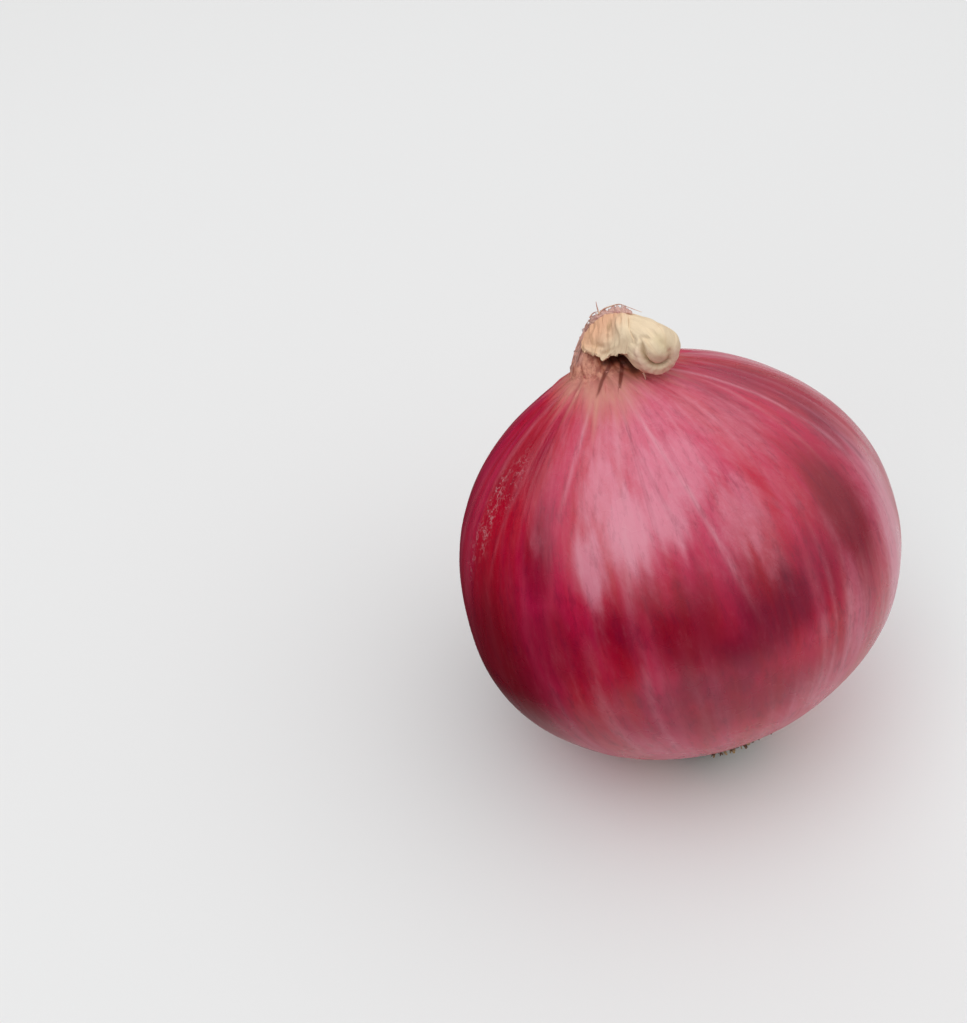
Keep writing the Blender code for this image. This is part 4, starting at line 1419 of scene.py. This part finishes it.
def floor_material():
    material, tree, shader = new_material("pale_floor")
    shader.inputs["Roughness"].default_value = 0.9
    shader.inputs["Specular IOR Level"].default_value = 0.1
    x, y, _ = split(tree, node(tree, "ShaderNodeTexCoord").outputs["Object"])
    # The dark card on the left, which only the onion sees
    seen = Field(tree, tree.nodes.new("ShaderNodeLightPath").outputs["Is Camera Ray"])
    card = (x * -1.0 + y * 0.15).ramp(0.008, 0.034) * (1 - seen)
    # A painted pool of light on the floor beside the onion, which lightens its shadow there
    near = (((x - PAINTED_LIGHT_AT) ** 2.0 + y ** 2.0) * PAINTED_LIGHT_FALL).do("EXPONENT")
    shade = painted(tree, mixed(tree, near, PALE_FLOOR, PAINTED_LIGHT_FLOOR), (card * 0.985, CARD_RED))
    tree.links.new(shade, shader.inputs["Base Color"])
    fade = ((x * x + y * y) ** 0.5).ramp(FADE_START, FADE_END)
    clear = tree.nodes.new("ShaderNodeBsdfTransparent")
    mix = tree.nodes.new("ShaderNodeMixShader")
    tree.links.new(fade.socket, mix.inputs[0])
    tree.links.new(shader.outputs[0], mix.inputs[1])
    tree.links.new(clear.outputs[0], mix.inputs[2])
    tree.links.new(mix.outputs[0], tree.nodes["Material Output"].inputs["Surface"])
    return material


bm = bmesh.new()
bmesh.ops.create_circle(bm, cap_ends=True, segments=96, radius=FLOOR_R)
floor_mesh = bpy.data.meshes.new("floor")
bm.to_mesh(floor_mesh)
bm.free()
floor = bpy.data.objects.new("floor", floor_mesh)
scene.collection.objects.link(floor)
floor_mesh.materials.append(floor_material())

# %% Sky and lights
SKY = 0.86
BACKDROP = (0.782, 0.782, 0.782, 1)


def soft_sky():
    """Light from all round, in x, y and z of the direction, and an even backdrop for the camera."""
    world = bpy.data.worlds.new("studio")
    world.use_nodes = True
    scene.world = world
    tree = world.node_tree
    x, y, z = split(tree, tree.nodes.new("ShaderNodeTexCoord").outputs["Generated"])
    overhead = z.ramp(0.05, 0.75, 0.21, 1.12)
    left_box = (x * -0.85 + y * -0.40).ramp(0.15, 0.50) * z.ramp(0.20, 0.34) * z.ramp(0.93, 0.75)
    right_box = (x * 0.85 + y * -0.45).ramp(0.35, 0.65) * z.ramp(0.45, 0.60) * z.ramp(0.93, 0.80)
    right_wall = (x * 0.85 + y * 0.50).ramp(0.20, 0.85) * z.ramp(-0.10, 0.08) * z.ramp(0.80, 0.35)
    left_dark = (x * -1.0 + y * 0.10).ramp(0.15, 0.60) * z.ramp(0.40, 0.10)
    low_front = (y * -1.0 + x * -0.95).ramp(0.0, 0.50) * z.ramp(0.42, 0.16)
    lens_side = (y + 0.80) ** 2.0 + x * x + (z - 0.58) ** 2.0
    gap = (lens_side * -9.0).do("EXPONENT") * 0.55
    glow = overhead + left_box * 0.75 + right_box * 0.25 + right_wall * 0.36
    glow = glow * (1 - gap) * (1 - 0.95 * low_front) * (1 - 0.9 * left_dark)
    shade = tree.nodes["Background"]
    shade.inputs["Color"].default_value = (1, 1, 1, 1)
    feed(tree, shade.inputs["Strength"], glow.high(0.0) * SKY)
    plain = node(tree, "ShaderNodeBackground", Color=BACKDROP, Strength=1.0)
    rays = tree.nodes.new("ShaderNodeLightPath")
    mix = tree.nodes.new("ShaderNodeMixShader")
    tree.links.new(rays.outputs["Is Camera Ray"], mix.inputs[0])
    tree.links.new(shade.outputs[0], mix.inputs[1])
    tree.links.new(plain.outputs[0], mix.inputs[2])
    tree.links.new(mix.outputs[0], tree.nodes["World Output"].inputs["Surface"])


def soft_box(name, toward, distance, wide, tall, watts):
    """A rectangular lamp that shines at the onion from a direction."""
    data = bpy.data.lights.new(name, "AREA")
    data.shape = "RECTANGLE"
    data.size, data.size_y = wide, tall
    data.energy = watts
    lamp = bpy.data.objects.new(name, data)
    aim = Vector(toward).normalized()
    lamp.location = MIDDLE + aim * distance
    lamp.rotation_euler = aim.to_track_quat("Z", "Y").to_euler()
    scene.collection.objects.link(lamp)


soft_sky()
soft_box("key_softbox", toward=(-0.42, -0.38, 0.84), distance=0.75, wide=0.62, tall=0.55, watts=0.68)

# %% [markdown]
# ## Sizes and hand-over
# ## The end

# %% The end
import json
